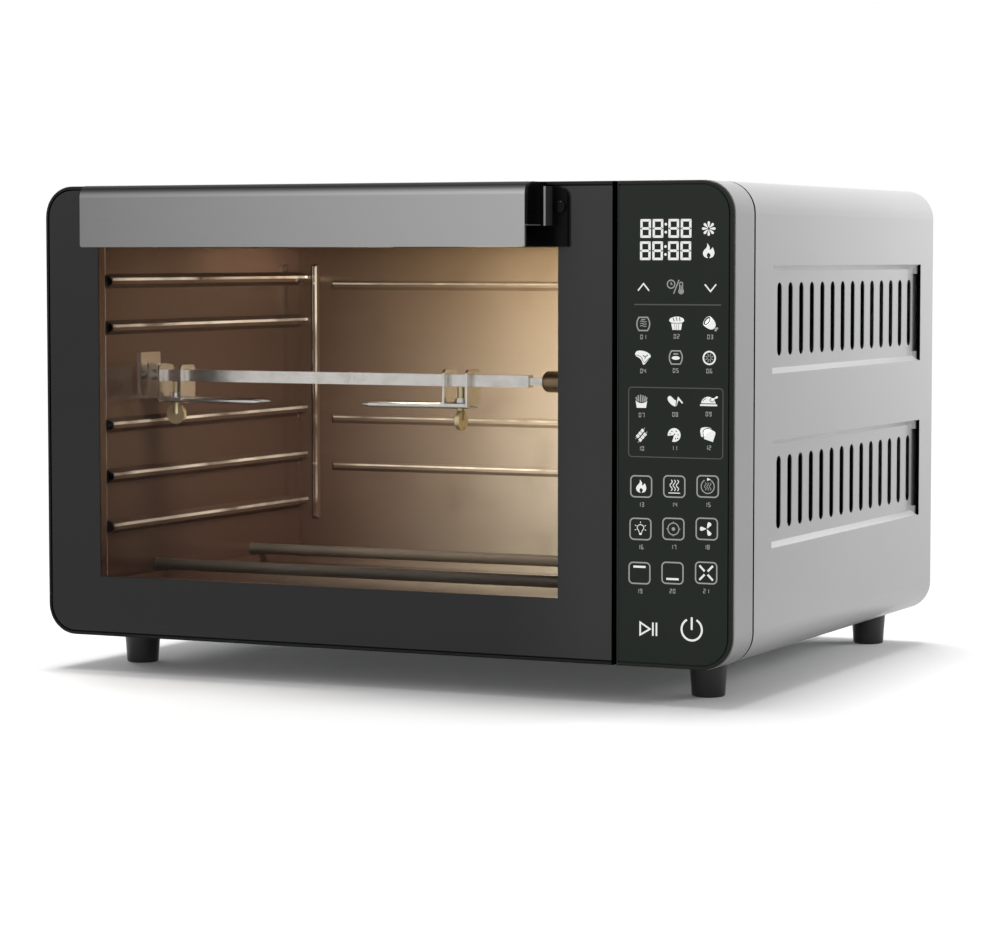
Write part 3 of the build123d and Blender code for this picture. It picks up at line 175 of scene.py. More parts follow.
# paints, metals, glass and plastics of the oven
# a noise is listed by pitch, detail, roughness and stretch, a patch by low, high and share
seamLook = {"front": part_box("outer_wrap")[0].y, "wide": 0.00195, "edge": 0.0004}
# vent sizes, with the spans and tones of the painted shade and painted highlights in the vents
ventLook = {
    "names": ("right_vent_upper", "right_vent_lower"), "face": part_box("outer_wrap")[1].x,
    "lip": 0.004, "depth": 0.0048, "draft": 0.0033, "rim": 0.0001, "slot": 0.0005,
    "dim": -0.0018, "black": -0.0010, "run": 0.0079, "sheet": 0.0008, "under": 0.00005,
    "ledgeHighlight": 0.80, "browHighlight": 0.62,
}
paintLook = {
    "flake": (0.0005, 2.0), "cloud": (0.11, 2.0), "tones": (0.425, 0.465, 0.52),
    "glint": (0.35, 0.75, 0.25), "metal": 0.35, "rough": (0.36, 0.12), "relief": 0.00002,
    "coat": 0.6, "coatRough": 0.12, "hollow": 0.003, "hollowRough": 0.9,
}


# satin light silver with a fine flake; painted shade turns it black in the seam, at the vents' open
# rear ends and in their slots, and painted highlights lighten the vents' sloped walls
def silverPaint(name, shade=1.0):
    paint = newFinish(name)
    x, y, z = paint.axes()
    flake = paint.noise(*paintLook["flake"])
    cloud = paint.noise(*paintLook["cloud"])
    dim, pale, bright = (grey(value * shade) for value in paintLook["tones"])
    tone = paint.blend(cloud, dim, pale)
    tone = paint.blend(paint.patch(flake, *paintLook["glint"]), tone, bright)
    # painted shade: the seam between the front frame and the wrap, and the wrap's front edge,
    # turned black
    dark = (y > seamLook["front"] - seamLook["wide"]) * (y < seamLook["front"] + seamLook["edge"])
    far = paint.add("ShaderNodeMath", {"operation": "ABSOLUTE"}, {0: x})
    face, lip, draft, rim = (ventLook[key] for key in ("face", "lip", "draft", "rim"))
    ventFloor = face - ventLook["depth"]
    # painted shade: the slots deeper than each vent's floor turned black
    behind = far < ventFloor - ventLook["slot"]
    wall = (far < face - rim) * (far > ventFloor + rim)
    for vent in ventLook["names"]:
        low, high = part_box(vent)
        end = high.y - lip
        # painted shade: black fading in towards each vent's open rear end
        paintedLightFade = paint.level(y, end + ventLook["dim"], end + ventLook["black"]) * wall
        inside = (z > low.z + lip) * (z < high.z - lip) * (y > low.y + lip)
        dark = dark + inside * (paintedLightFade + behind)
        # painted highlights: the lower sloped wall of each vent on the right side, and every upper
        # sloped wall, painted lighter
        slope = inside * wall * (y < end - draft)
        ledgeHighlight = slope * (x > 0) * (z < low.z + lip + draft)
        browHighlight = slope * (z > high.z - lip - draft)
        tone = paint.blend(ledgeHighlight, tone, grey(ventLook["ledgeHighlight"]))
        tone = paint.blend(browHighlight, tone, grey(ventLook["browHighlight"]))
    shader = paint.body(Base_Color=tone, Metallic=paintLook["metal"],
                        Roughness=vary(paintLook["rough"], flake),
                        Normal=paint.bump(flake, paintLook["relief"]),
                        Coat_Weight=paintLook["coat"], Coat_Roughness=paintLook["coatRough"])
    # near-black paint that carries the painted shade
    hollow = paint.body(Base_Color=grey(paintLook["hollow"]), Roughness=paintLook["hollowRough"],
                        Specular_IOR_Level=0.0)
    return paint.close(paint.mix(dark, shader, hollow))


panelLook = {
    "cloud": (0.15, 1.0), "tones": ((0.0122, 0.0205, 0.0136, 1), (0.0148, 0.0240, 0.0163, 1)),
    "shine": 0.24,
}


def panelTone(finish):  # black print behind glass, a little green
    return finish.blend(finish.noise(*panelLook["cloud"]), *panelLook["tones"])


shellLook = {
    "grain": (0.0007, 3.0), "cloud": (0.09, 2.0),
    "tones": ((0.0030, 0.0033, 0.0033, 1), (0.0055, 0.0058, 0.0058, 1)),
    "rough": (0.34, 0.10), "relief": 0.00003, "shine": 0.22,
}
# the painted shade and painted highlight beside the gap between the door and the panel
edgeLook = {
    "band": 0.0012, "face": 0.0009, "slack": 0.0001, "black": 0.001,
    "rim": (0.036, 0.038, 0.037, 1), "rough": 0.18,
}


# moulded near-black plastic with a fine grain; painted shade blackens the rims beside the gap, the
# fascia's face takes the panel's print tone, and a painted highlight lightens the fascia's edge by
# the gap
def darkShell():
    shell = newFinish("dark_shell")
    x, y = shell.axes()[:2]
    doorRight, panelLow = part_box("door_frame")[1].x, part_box("control_fascia")[0]
    grain = shell.noise(*shellLook["grain"])
    cloud = shell.noise(*shellLook["cloud"])
    shader = shell.body(Base_Color=shell.blend(cloud, *shellLook["tones"]),
                        Roughness=vary(shellLook["rough"], grain),
                        Normal=shell.bump(grain, shellLook["relief"]),
                        Specular_IOR_Level=shellLook["shine"])
    # painted shade: the door frame's rim and the gap up to the panel turned black
    panelLeft = panelLow.x - edgeLook["slack"]
    gap = (x > doorRight - edgeLook["band"]) * (x < panelLeft)
    black = shell.body(Base_Color=grey(edgeLook["black"]), Specular_IOR_Level=0.0)
    shader = shell.mix(gap, shader, black)
    front = (y < panelLow.y + edgeLook["face"]) * (x > panelLeft)
    # painted highlight: a paler strip along the fascia's edge by the gap
    rim = shell.blend(x < panelLow.x + edgeLook["band"], panelTone(shell), edgeLook["rim"])
    toned = shell.body(Base_Color=rim, Roughness=edgeLook["rough"],
                       Specular_IOR_Level=panelLook["shine"])
    return shell.close(shell.mix(front, shader, toned))


paneLook = {
    "left": -0.2085, "right": 0.131, "bottom": 0.0645, "top": 0.288, "clear": 0.03,
    "print": 0.001, "smear": (0.05, 4.0, 0.6, (1, 1, 2.2)), "cloud": (0.2, 1.0),
    "tones": ((0.0148, 0.0150, 0.0152, 1), (0.0182, 0.0182, 0.0186, 1)),
    "beside": (0.045, 0.045, 0.0455, 1), "paintedLightFade": (-0.04, 0.02), "rough": (0.10, 0.10),
    "shine": 0.36,
}


# float glass, its front printed black except over the window; a painted highlight makes the print
# paler from the right edge of the window onwards
def doorPane():
    pane = newFinish("door_pane")
    x, y, z = pane.axes()
    window = (x > paneLook["left"]) * (x < paneLook["right"])
    window = window * (z > paneLook["bottom"]) * (z < paneLook["top"])
    window = (window + (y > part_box("door_glass")[0].y + paneLook["print"])) > 0.5
    smear = pane.noise(*paneLook["smear"])
    cloud = pane.noise(*paneLook["cloud"])
    # painted highlight: the print lightens across the window's right edge
    start, end = (paneLook["right"] + step for step in paneLook["paintedLightFade"])
    tone = pane.blend(cloud, *paneLook["tones"])
    tone = pane.blend(pane.level(x, start, end), tone, paneLook["beside"])
    shader = pane.body(Base_Color=tone, Roughness=vary(paneLook["rough"], smear),
                       Specular_IOR_Level=paneLook["shine"],
                       Alpha=1 - window * (1 - paneLook["clear"]))
    return pane.close(shader)


innerLook = {
    "haze": (0.06, 3.0), "tone": (0.30, 0.24, 0.18, 1), "rough": (0.06, 0.10),
    "cover": (0.01, 0.03),
}


def innerPane():  # plain heat-proof glass with a trace of baking haze
    pane = newFinish("inner_pane")
    haze = pane.noise(*innerLook["haze"])
    shader = pane.body(Base_Color=innerLook["tone"], Roughness=vary(innerLook["rough"], haze),
                       Alpha=vary(innerLook["cover"], haze))
    return pane.close(shader)


touchLook = {"smear": (0.035, 4.0, 0.6), "rough": (0.12, 0.10)}


def touchPane():  # dark back-printed glass
    pane = newFinish("touch_pane")
    smear = pane.noise(*touchLook["smear"])
    shader = pane.body(Base_Color=panelTone(pane), Roughness=vary(touchLook["rough"], smear),
                       Specular_IOR_Level=panelLook["shine"])
    return pane.close(shader)


brushLook = {
    "line": (0.0004, 2.0, 0.5), "draw": 0.012, "cloud": (0.07, 2.0), "dull": 0.86,
    "contrast": (0.3, 0.7), "lineShare": 0.7, "cloudShare": 0.3, "rough": 0.14,
    "relief": 0.00002,
}


def brushedMetal(name, tone, rough, along):  # hairlines drawn out along one axis
    metal = newFinish(name)
    stretch = [brushLook["draw"] if axis == along else 1.0 for axis in range(3)]
    line = metal.noise(*brushLook["line"], stretch)
    cloud = metal.noise(*brushLook["cloud"])
    dull = tuple(brushLook["dull"] * c for c in tone) + (1,)
    worn = metal.patch(line, *brushLook["contrast"], brushLook["lineShare"])
    colour = metal.blend(worn + cloud * brushLook["cloudShare"], dull, tone + (1,))
    shader = metal.body(Base_Color=colour, Metallic=1.0,
                        Roughness=vary((rough, brushLook["rough"]), line),
                        Normal=metal.bump(line, brushLook["relief"]))
    return metal.close(shader)


# the bar's painted light from end to end and the painted shade on its top edge are set here
handleLook = {
    "left": 0.20, "right": 0.365, "dim": 0.004, "gloss": 0.45, "metal": 0.9,
    "line": (0.0005, 2.0, 0.5, (0.01, 1, 1)), "glint": (0.35, 0.65, 0.06),
    "rough": (0.40, 0.06), "relief": 0.000006, "roll": 0.0068, "edge": 0.0024,
    "paintedLightFade": ((0.0, 0.0), (0.4, 0.3), (0.7, 0.75), (1.0, 1.0)),
}


# smooth anodised bar; painted light makes it lighter to the right, and painted shade darkens its
# rolled top edge
def handleMetal():
    bar = newFinish("handle_metal")
    x, z = bar.axes()[::2]
    low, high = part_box("handle_bar")
    line = bar.noise(*handleLook["line"])
    left, right, dim, gloss = (grey(handleLook[key]) for key in ("left", "right", "dim", "gloss"))
    # painted light: the tone rises from the left end of the bar to the right
    tone = bar.blend(bar.level(x, low.x, high.x), left, right)
    tone = bar.blend(bar.patch(line, *handleLook["glint"]), tone, gloss)
    # painted shade: the rolled top edge darkened
    rise = bar.level(z, high.z - handleLook["roll"], high.z - handleLook["edge"])
    paintedLightFade = bar.ramp(rise, *((stop, grey(value)) for stop, value in handleLook["paintedLightFade"]))
    shader = bar.body(Base_Color=bar.blend(paintedLightFade, tone, dim), Metallic=handleLook["metal"],
                      Roughness=vary(handleLook["rough"], line),
                      Normal=bar.bump(line, handleLook["relief"]))
    return bar.close(shader)


blackLook = {
    "swirl": (0.018, 4.0, 0.6), "rough": (0.07, 0.09),
    "tones": ((0.0035, 0.0035, 0.0036, 1), (0.0060, 0.0060, 0.0062, 1)),
}
# painted highlights on the bracket: a bright stripe across the web and a bright lower rim
webLook = {
    "cap": 0.002, "wide": 0.0063, "front": 0.0095, "low": 0.0275, "rim": 0.0007,
    "root": 0.0031, "slack": 0.00005, "skin": 0.0001, "bright": 0.22,
    "paintedGlint": ((0.0, 0.005), (0.15, 0.01), (0.19, 0.8), (0.275, 0.8), (0.32, 0.05),
             (0.85, 0.03), (1.0, 0.006)),
    "rough": (0.16, 0.09), "shine": 0.07,
}


def glossBlack(name, mirror):  # polished black moulding with faint swirl
    gloss = newFinish(name)
    swirl = gloss.noise(*blackLook["swirl"])
    shader = gloss.body(Base_Color=gloss.blend(swirl, *blackLook["tones"]),
                        Roughness=vary(blackLook["rough"], swirl), Specular_IOR_Level=mirror)
    return gloss.close(shader)


def bracketBlack():  # the same moulding, with painted highlights on its hollow web and along its lower rim
    gloss = newFinish("bracket_black")
    x, y, z = gloss.axes()
    bar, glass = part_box("handle_bar")[1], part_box("door_glass")[0]
    swirl = gloss.noise(*blackLook["swirl"])
    tone = gloss.blend(swirl, *blackLook["tones"])
    # painted highlight: a narrow bright stripe across the web near the bar's end
    start, low = bar.x + webLook["cap"], bar.z - webLook["low"]
    end = start + webLook["wide"]
    stops = ((stop, grey(value)) for stop, value in webLook["paintedGlint"])
    paintedGlint = gloss.ramp(gloss.level(x, start, end), *stops)
    ahead = y < glass.y - webLook["root"]
    web = (x > start + webLook["slack"]) * (x < end) * ahead * (y > glass.y - webLook["front"])
    tone = gloss.blend(web, tone, paintedGlint)
    # painted highlight: the lower rim of the end cap lightened
    cap = (x > bar.x + webLook["skin"]) * (x < start + webLook["skin"])
    rim = (z < low + webLook["rim"]) * cap * ahead
    tone = gloss.blend(rim, tone, grey(webLook["bright"]))
    shader = gloss.body(Base_Color=tone, Roughness=vary(webLook["rough"], swirl),
                        Specular_IOR_Level=webLook["shine"])
    return gloss.close(shader)


# plain finishes
rubberLook = {  # dull black, dusty in its grain
    "mottle": (0.02, 3.0), "patch": (0.55, 0.85, 0.35), "grain": (0.0009, 4.0),
    "tones": ((0.027, 0.027, 0.0273, 1), (0.045, 0.045, 0.045, 1)),
    "metal": 0.0, "rough": (0.26, 0.12), "relief": 0.00002,
}
sheathLook = {  # grey-brown oxide on the heating tubes
    "mottle": (0.05, 3.0, 0.5, (1, 0.2, 0.2)), "grain": (0.004, 4.0),
    "tones": ((0.060, 0.052, 0.045, 1), (0.15, 0.125, 0.10, 1)),
    "metal": 0.6, "rough": (0.48, 0.2), "relief": 0.00008,
}
glazeLook = {  # porcelain with a thin glaze
    "mottle": (0.003, 3.0), "patch": (0.55, 0.75, 0.3), "metal": 0.0, "rough": (0.25, 0.15),
    "tones": ((0.74, 0.71, 0.65, 1), (0.55, 0.48, 0.38, 1)),
}
plateLook = {  # bright nickel plate with handling marks
    "mottle": (0.012, 5.0, 0.65), "patch": (0.45, 0.8, 0.5), "metal": 1.0, "rough": (0.14, 0.18),
    "tones": ((0.74, 0.72, 0.69, 1), (0.46, 0.40, 0.33, 1)),
}
brassLook = {  # machined brass, slightly tarnished
    "mottle": (0.01, 4.0), "patch": (0.4, 0.8, 1.0), "grain": (0.0006, 2.0, 0.5, (1, 0.05, 0.05)),
    "tones": ((0.82, 0.70, 0.42, 1), (0.62, 0.50, 0.26, 1)),
    "metal": 0.7, "rough": (0.24, 0.14), "relief": 0.00002,
}
caseLook = {  # dull grey casting
    "mottle": (0.03, 3.0), "grain": (0.0012, 4.0),
    "tones": ((0.045, 0.045, 0.047, 1), (0.07, 0.07, 0.073, 1)),
    "metal": 0.5, "rough": (0.45, 0.2), "relief": 0.00006,
}


def plainFinish(name, look):  # two tones mottled by one noise, gloss and relief from a finer grain
    plain = newFinish(name)
    mottle = plain.noise(*look["mottle"])
    grain = plain.noise(*look["grain"]) if "grain" in look else mottle
    share = plain.patch(mottle, *look["patch"]) if "patch" in look else mottle
    sockets = {"Base_Color": plain.blend(share, *look["tones"]), "Metallic": look["metal"],
               "Roughness": vary(look["rough"], grain)}
    if "relief" in look:
        sockets["Normal"] = plain.bump(grain, look["relief"])
    return plain.close(plain.body(**sockets))


# painted light in the left and right tones, painted highlights on the crests, and painted shade
# outside the cavity
cavityLook = {
    "low": (-0.224, 0.053), "high": (0.133, 0.303), "back": 0.1245, "sheet": 0.0004,
    "line": (0.0006, 2.0, 0.5, (1, 0.02, 1)), "patches": (0.045, 5.0, 0.62),
    "left": ((0.10, 0.052, 0.038, 1), (0.05, 0.022, 0.013, 1)),
    "right": ((0.80, 0.77, 0.66, 1), (0.37, 0.26, 0.135, 1)),
    "slant": (0.85, 0.15), "fall": 1.3, "outside": 0.010, "outward": -0.2,
    "stain": (0.07, 0.035, 0.02, 1), "stained": (0.5, 0.8, 0.35),
    "glintTone": (0.88, 0.84, 0.76, 1), "paintedGlint": (0.05, 3.0), "worn": (0.32, 0.60),
    "rails": (0.095, 0.130, 0.165, 0.232, 0.264), "crest": (0.0036, 0.0003, 0.0023),
    "ribs": (0.122, 0.158, 0.259), "ribEdge": (0.0008, 0.0022), "ribRise": 0.0015,
    "post": 0.014, "postEdge": (0.0007, 0.0020),
    "metal": 0.6, "rough": 0.13, "roughSpan": 0.08, "relief": 0.00001,
}


# polished sheet gone brown with heat; painted light makes it pale to the right and low down and
# dark to the left and high up, painted highlights brighten its pressed crests, and painted shade
# blackens its outside
def cavitySteel():
    steel = newFinish("cavity_steel")
    x, y, z = steel.axes()
    (left, low), (right, high) = cavityLook["low"], cavityLook["high"]
    back, sheet = cavityLook["back"], cavityLook["sheet"]
    line = steel.noise(*cavityLook["line"])
    stain = steel.noise(*cavityLook["patches"])
    level, upright = cavityLook["slant"]
    rise = steel.level(z, low, high)
    # painted light: the tone runs from dark brown at the left to pale at the right, darker higher
    # up
    across = (steel.level(x, left, right) * level + rise * upright) ** cavityLook["fall"]
    tone = steel.blend(across, steel.blend(rise, *cavityLook["left"]),
                       steel.blend(rise, *cavityLook["right"]))
    tone = steel.blend(steel.patch(stain, *cavityLook["stained"]), tone, cavityLook["stain"])
    # painted highlights: bright streaks along the rail crests and the back wall's ribs and posts,
    # broken up by a noise
    depth, under, over = cavityLook["crest"]
    nearLeft = (x < left + 2 * depth) * (x > left + depth)
    nearSide = nearLeft + (x > right - 2 * depth) * (x < right - depth)
    shine = 0.0
    for rail in cavityLook["rails"]:
        shine = nearSide * (z > rail + under) * (z < rail + over) + shine
    raised = (y > back - 2 * cavityLook["ribRise"]) * (y < back - cavityLook["ribRise"])
    inner, outer = cavityLook["ribEdge"]
    for rib in cavityLook["ribs"]:
        shine = raised * (z > rib + inner) * (z < rib + outer) + shine
    post = left + cavityLook["post"]
    for side in (-1, 1):
        first, last = sorted(post + side * edge for edge in cavityLook["postEdge"])
        shine = raised * (x > first) * (x < last) + shine
    glintMask = shine * steel.level(steel.noise(*cavityLook["paintedGlint"]), *cavityLook["worn"])
    tone = steel.blend(glintMask, tone, cavityLook["glintTone"])
    # painted shade: every face outside the cavity, and the rails' outer faces, turned near black
    inside = (x > left - sheet) * (x < right + sheet) * (z > low - sheet) * (z < high + sheet)
    inside = inside * (y < back + sheet)
    normal = steel.add("ShaderNodeNewGeometry", None, None, "True Normal")
    facing = steel.add("ShaderNodeSeparateXYZ", None, {"Vector": normal})
    outward = (facing < cavityLook["outward"]) * (x < left + 3 * depth)  # the rails' outer faces
    tone = steel.blend(inside * (1 - outward), grey(cavityLook["outside"]), tone)
    span = cavityLook["roughSpan"]
    shader = steel.body(Base_Color=tone, Metallic=cavityLook["metal"],
                        Roughness=cavityLook["rough"] + span * line + span * stain,
                        Normal=steel.bump(line, cavityLook["relief"]))
    return steel.close(shader)


zincLook = {
    "crystals": 220.0, "cloud": (0.1, 2.0), "crystalShare": 0.7, "cloudShare": 0.3,
    "tones": ((0.37, 0.38, 0.39, 1), (0.43, 0.44, 0.45, 1)), "metal": 0.85,
    "rough": (0.36, 0.16),
}


def zincSheet():  # galvanised sheet: crystal spangle
    zinc = newFinish("zinc_sheet")
    spangle = zinc.add("ShaderNodeTexVoronoi", None,
                       {"Vector": zinc.place(), "Scale": zincLook["crystals"]}, "Color")
    value = zinc.add("ShaderNodeSeparateColor", None, {"Color": spangle})
    cloud = zinc.noise(*zincLook["cloud"])
    mixed = value * zincLook["crystalShare"] + cloud * zincLook["cloudShare"]
    shader = zinc.body(Base_Color=zinc.blend(mixed, *zincLook["tones"]),
                       Metallic=zincLook["metal"], Roughness=vary(zincLook["rough"], value))
    return zinc.close(shader)


boardLook = {
    "layout": {"offset": 0.3, "squash": 0.6},
    "tracks": {"Scale": 160.0, "Color1": (0.012, 0.10, 0.035, 1), "Mortar Size": 0.05,
               "Color2": (0.016, 0.13, 0.045, 1), "Mortar": (0.03, 0.20, 0.075, 1)},
    "grain": (0.004, 3.0), "rough": (0.35, 0.2),
}


def boardGreen():  # solder mask with tracks showing through
    board = newFinish("board_green")
    track = board.add("ShaderNodeTexBrick", boardLook["layout"],
                      {"Vector": board.place(), **boardLook["tracks"]})
    grain = board.noise(*boardLook["grain"])
    return board.close(board.body(Base_Color=track, Roughness=vary(boardLook["rough"], grain)))


lampLook = {
    "glow": (0.012, 2.0), "warm": ((1.0, 0.72, 0.36, 1), (1.0, 0.84, 0.56, 1)),
    "glass": (0.80, 0.66, 0.45, 1), "rough": (0.20, 0.1), "lit": 0.5,
}


def lampGlass():  # warm glass, lit from behind
    lens = newFinish("lamp_glass")
    glow = lens.noise(*lampLook["glow"])
    shader = lens.body(Base_Color=lampLook["glass"], Roughness=vary(lampLook["rough"], glow),
                       Emission_Color=lens.blend(glow, *lampLook["warm"]),
                       Emission_Strength=lampLook["lit"])
    return lens.close(shader)


inkLook = {"mottle": (0.0015, 3.0), "faint": 0.9, "rough": (0.45, 0.1)}


def panelInk(name, tone, lit):  # printed or back-lit marks on the touch glass
    ink = newFinish(name)
    mottle = ink.noise(*inkLook["mottle"])
    faint = tuple(inkLook["faint"] * c for c in tone) + (1,)
    colour = ink.blend(mottle, tone + (1,), faint)
    shader = ink.body(Base_Color=colour, Roughness=vary(inkLook["rough"], mottle),
                      Emission_Color=colour, Emission_Strength=lit)
    return ink.close(shader)


looks = {
    "body_paint": silverPaint("silver_paint"),
    "dark_plastic": darkShell(),
    "door_pane": doorPane(),
    "clear_pane": innerPane(),
    "touch_pane": touchPane(),
    "handle_metal": handleMetal(),
    "bracket_plastic": bracketBlack(),
    "fastener_steel": brushedMetal("fastener_steel", (0.46, 0.46, 0.46), 0.25, 2),
    "foot_rubber": plainFinish("foot_rubber", rubberLook),
    "cavity_steel": cavitySteel(),
    "plain_sheet": zincSheet(),
    "heater_steel": plainFinish("heater_sheath", sheathLook),
    "ceramic_white": plainFinish("glazed_white", glazeLook),
    "spit_chrome": plainFinish("plated_steel", plateLook),
    "brass_fitting": plainFinish("turned_brass", brassLook),
    "fan_aluminium": brushedMetal("fan_aluminium", (0.60, 0.60, 0.60), 0.30, 2),
    "motor_case": plainFinish("motor_case", caseLook),
    "board_laminate": boardGreen(),
    "display_plastic": glossBlack("gloss_black", 0.45),
    "gland_rubber": plainFinish("gland_rubber", rubberLook),
}
lampFinish = lampGlass()
ownLooks = {
    # painted shade: the front frame takes the silver paint darkened to 0.79
    "front_frame": silverPaint("frame_silver", 0.79),
    "lamp_lens": lampFinish,
    "lamp_bulb": lampFinish,
    "handle_screws": glossBlack("screw_black", 0.1),
    "drive_socket": brushedMetal("socket_bronze", (0.24, 0.17, 0.09), 0.24, 0),
}
for part in frame["record"]["subparts"]:
    piece = nodes[part["node"]]
    piece.data.materials.clear()
    piece.data.materials.append(ownLooks.get(part["node"], looks[part["material_slot"]]))
print("finishes:", len(looks), "by slot,", len(ownLooks), "by node")

# sheet pieces: a box has its corners in the order of x, then y, then z
boxFaces = [(0, 1, 3, 2), (4, 6, 7, 5), (0, 4, 5, 1), (2, 3, 7, 6), (0, 2, 6, 4), (1, 5, 7, 3)]


def addPiece(name, points, faces, material):
    mesh = bpy.data.meshes.new(name)
    mesh.from_pydata(points, [], faces)
    mesh.materials.append(material)
    piece = bpy.data.objects.new(name, mesh)
    scene.collection.objects.link(piece)
    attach(piece, "oven")


def addBoxes(name, boxes, material):  # flat boxes, each given by its ends along x, y and z
    points, faces = [], []
    for xs, ys, zs in boxes:
        faces += [tuple(len(points) + i for i in face) for face in boxFaces]
        points += [(x, y, z) for x in xs for y in ys for z in zs]
    addPiece(name, points, faces, material)


# strips that carry each side vent's floor on behind its open rear end
strips = []
for side in (-1, 1):
    for low, high in (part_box(name) for name in ventLook["names"]):
        end, inset = high.y - ventLook["lip"], ventLook["lip"] + 2 * ventLook["draft"]
        floorX = ventLook["face"] - ventLook["depth"] - ventLook["under"]
        strips.append((sorted((side * (floorX - ventLook["sheet"]), side * floorX)),
                       (end - ventLook["draft"], end + ventLook["run"]),
                       (low.z + inset, high.z - inset)))
addBoxes("vent_run_on", strips, looks["body_paint"])

# upright sheet that parts the bay behind the cavity, and a baffle that stands off the rear slots
bayLook = {"half": 0.0008, "gap": 0.0006, "stand": 0.0125, "wide": 0.20, "low": 0.06, "high": 0.29}
bayBack, rear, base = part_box("cavity_back"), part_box("rear_panel"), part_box("base_plate")
half, gap, wide = bayLook["half"], bayLook["gap"], bayLook["wide"]
baffleFront = rear[0].y - bayLook["stand"]
upright = ((-half, half), (bayBack[1].y + gap, baffleFront - gap),
           (base[1].z + gap, rear[1].z - gap))
baffle = ((-wide, wide), (baffleFront, baffleFront + 2 * half), (bayLook["low"], bayLook["high"]))
addBoxes("bay_divider", (upright, baffle), looks["motor_case"])
print("vent floors, bay divider and baffle:", len(strips) + 2, "boxes")

# control panel marks, in millimetres on the panel face: x to the right, z up
panelFace = {"y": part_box("touch_glass")[0].y, "ink": 0.00008, "sink": 0.00002}


def curve(points, count=24):  # Catmull-Rom: a smooth line through the points
    p = np.asarray(points, float)
    p = np.vstack([2 * p[0] - p[1], p, 2 * p[-1] - p[-2]])
    t = np.linspace(0, len(p) - 3 - 1e-9, count)
    i = t.astype(int)
    f = (t - i)[:, None]
    a, b, c, d = p[i], p[i + 1], p[i + 2], p[i + 3]
    square, cube = 2 * a - 5 * b + 4 * c - d, 3 * b - a - 3 * c + d
    return 0.5 * (2 * b + (c - a) * f + square * f**2 + cube * f**3)


# x + r cos t, z + r sin t, in degrees
def arcPoints(x, z, radius, start, end, count=24, flat=1.0):
    t = np.radians(np.linspace(start, end, count))
    return np.stack([x + radius * np.cos(t), z + flat * radius * np.sin(t)], 1)


# a line of even width: both sides stand off along the mitred normal, held in at sharp corners
def stroke(points, width, closed=False):
    p = np.asarray(points, float)
    ahead = np.roll(p, -1, 0) - p
    if not closed:
        ahead[-1] = ahead[-2]
    ahead = ahead / np.linalg.norm(ahead, axis=1)[:, None]
    behind = np.roll(ahead, 1, 0)
    if not closed:
        behind[0] = ahead[0]
    na = np.stack([-ahead[:, 1], ahead[:, 0]], 1)
    nb = np.stack([-behind[:, 1], behind[:, 0]], 1)
    mitre = (na + nb) / np.maximum(0.25, 1 + (na * nb).sum(1))[:, None]
    return [(p + mitre * width / 2, p - mitre * width / 2, closed)]


def filled(first, second):  # the area between two lines that run the same way
    return [(np.asarray(first, float), np.asarray(second, float), False)]


def disc(x, z, radius, flat=1.0, count=17):  # the area between two half circles
    upper = arcPoints(x, z, radius, 179, 1, count, flat)
    return filled(upper, arcPoints(x, z, radius, 181, 359, count, flat))


def ringLine(x, z, radius, width, count=40):  # a full circle drawn as a line
    return stroke(arcPoints(x, z, radius, 0, 360, count + 1)[:-1], width, True)


def roundedBox(x, z, wide, high, radius, width):  # outline with quarter-circle corners
    reachX, reachZ = wide / 2 - radius, high / 2 - radius
    corners = [(1, 1, 0), (-1, 1, 90), (-1, -1, 180), (1, -1, 270)]
    path = [arcPoints(x + sx * reachX, z + sz * reachZ, radius, a, a + 90, 8)
            for sx, sz, a in corners]
    return stroke(np.vstack(path), width, True)


def turned(strips, angle):  # about the middle, in degrees
    c, s = math.cos(math.radians(angle)), math.sin(math.radians(angle))
    spin = np.array([[c, s], [-s, c]])
    return [(a @ spin, b @ spin, k) for a, b, k in strips]


def moved(strips, x, z, size=1.0):  # scaled, then shifted
    return [(a * size + (x, z), b * size + (x, z), k) for a, b, k in strips]


# each strip is a four-sided bar carried along its two edge lines
def inkMesh(name, strips, material, lift=1.0):
    points, quads, base = [], [], 0
    front = panelFace["y"] - lift * panelFace["ink"]
    back = panelFace["y"] + panelFace["sink"]
    for a, b, closed in strips:
        across, along = b[:-1] - a[:-1], a[1:] - a[:-1]
        if np.sum(across[:, 0] * along[:, 1] - across[:, 1] * along[:, 0]) < 0:
            a, b = b, a
        n = len(a)
        ring = np.zeros((n, 4, 3))
        for k, (line, y) in enumerate(((a, front), (b, front), (b, back), (a, back))):
            ring[:, k, 0], ring[:, k, 2] = line[:, 0] / 1000, line[:, 1] / 1000
            ring[:, k, 1] = y
        i = np.arange(n if closed else n - 1)[:, None]
        k = np.arange(4)[None, :]
        j, m = (i + 1) % n, (k + 1) % 4
        grid = np.stack([i * 4 + k, i * 4 + m, j * 4 + m, j * 4 + k], -1).reshape(-1, 4)
        if not closed:
            grid = np.vstack([grid, [3, 2, 1, 0], np.arange(4 * n - 4, 4 * n)])
        points.append(ring.reshape(-1, 3))
        quads.append(grid + base)
        base += 4 * n
    addPiece(name, np.vstack(points).tolist(), np.vstack(quads).tolist(), material)


# seven-bar digits: bars of a figure eight, or those that a numeral lights
digitBars = {"0": "abcdef", "1": "bc", "2": "abged", "3": "abgcd", "4": "fgbc", "5": "afgcd",
             "6": "afgecd", "7": "abc", "8": "abcdefg", "9": "abcdfg"}
digitLook = {"cut": 0.09, "point": 0.1, "wide": 0.58, "gap": 0.22, "bar": 0.15}


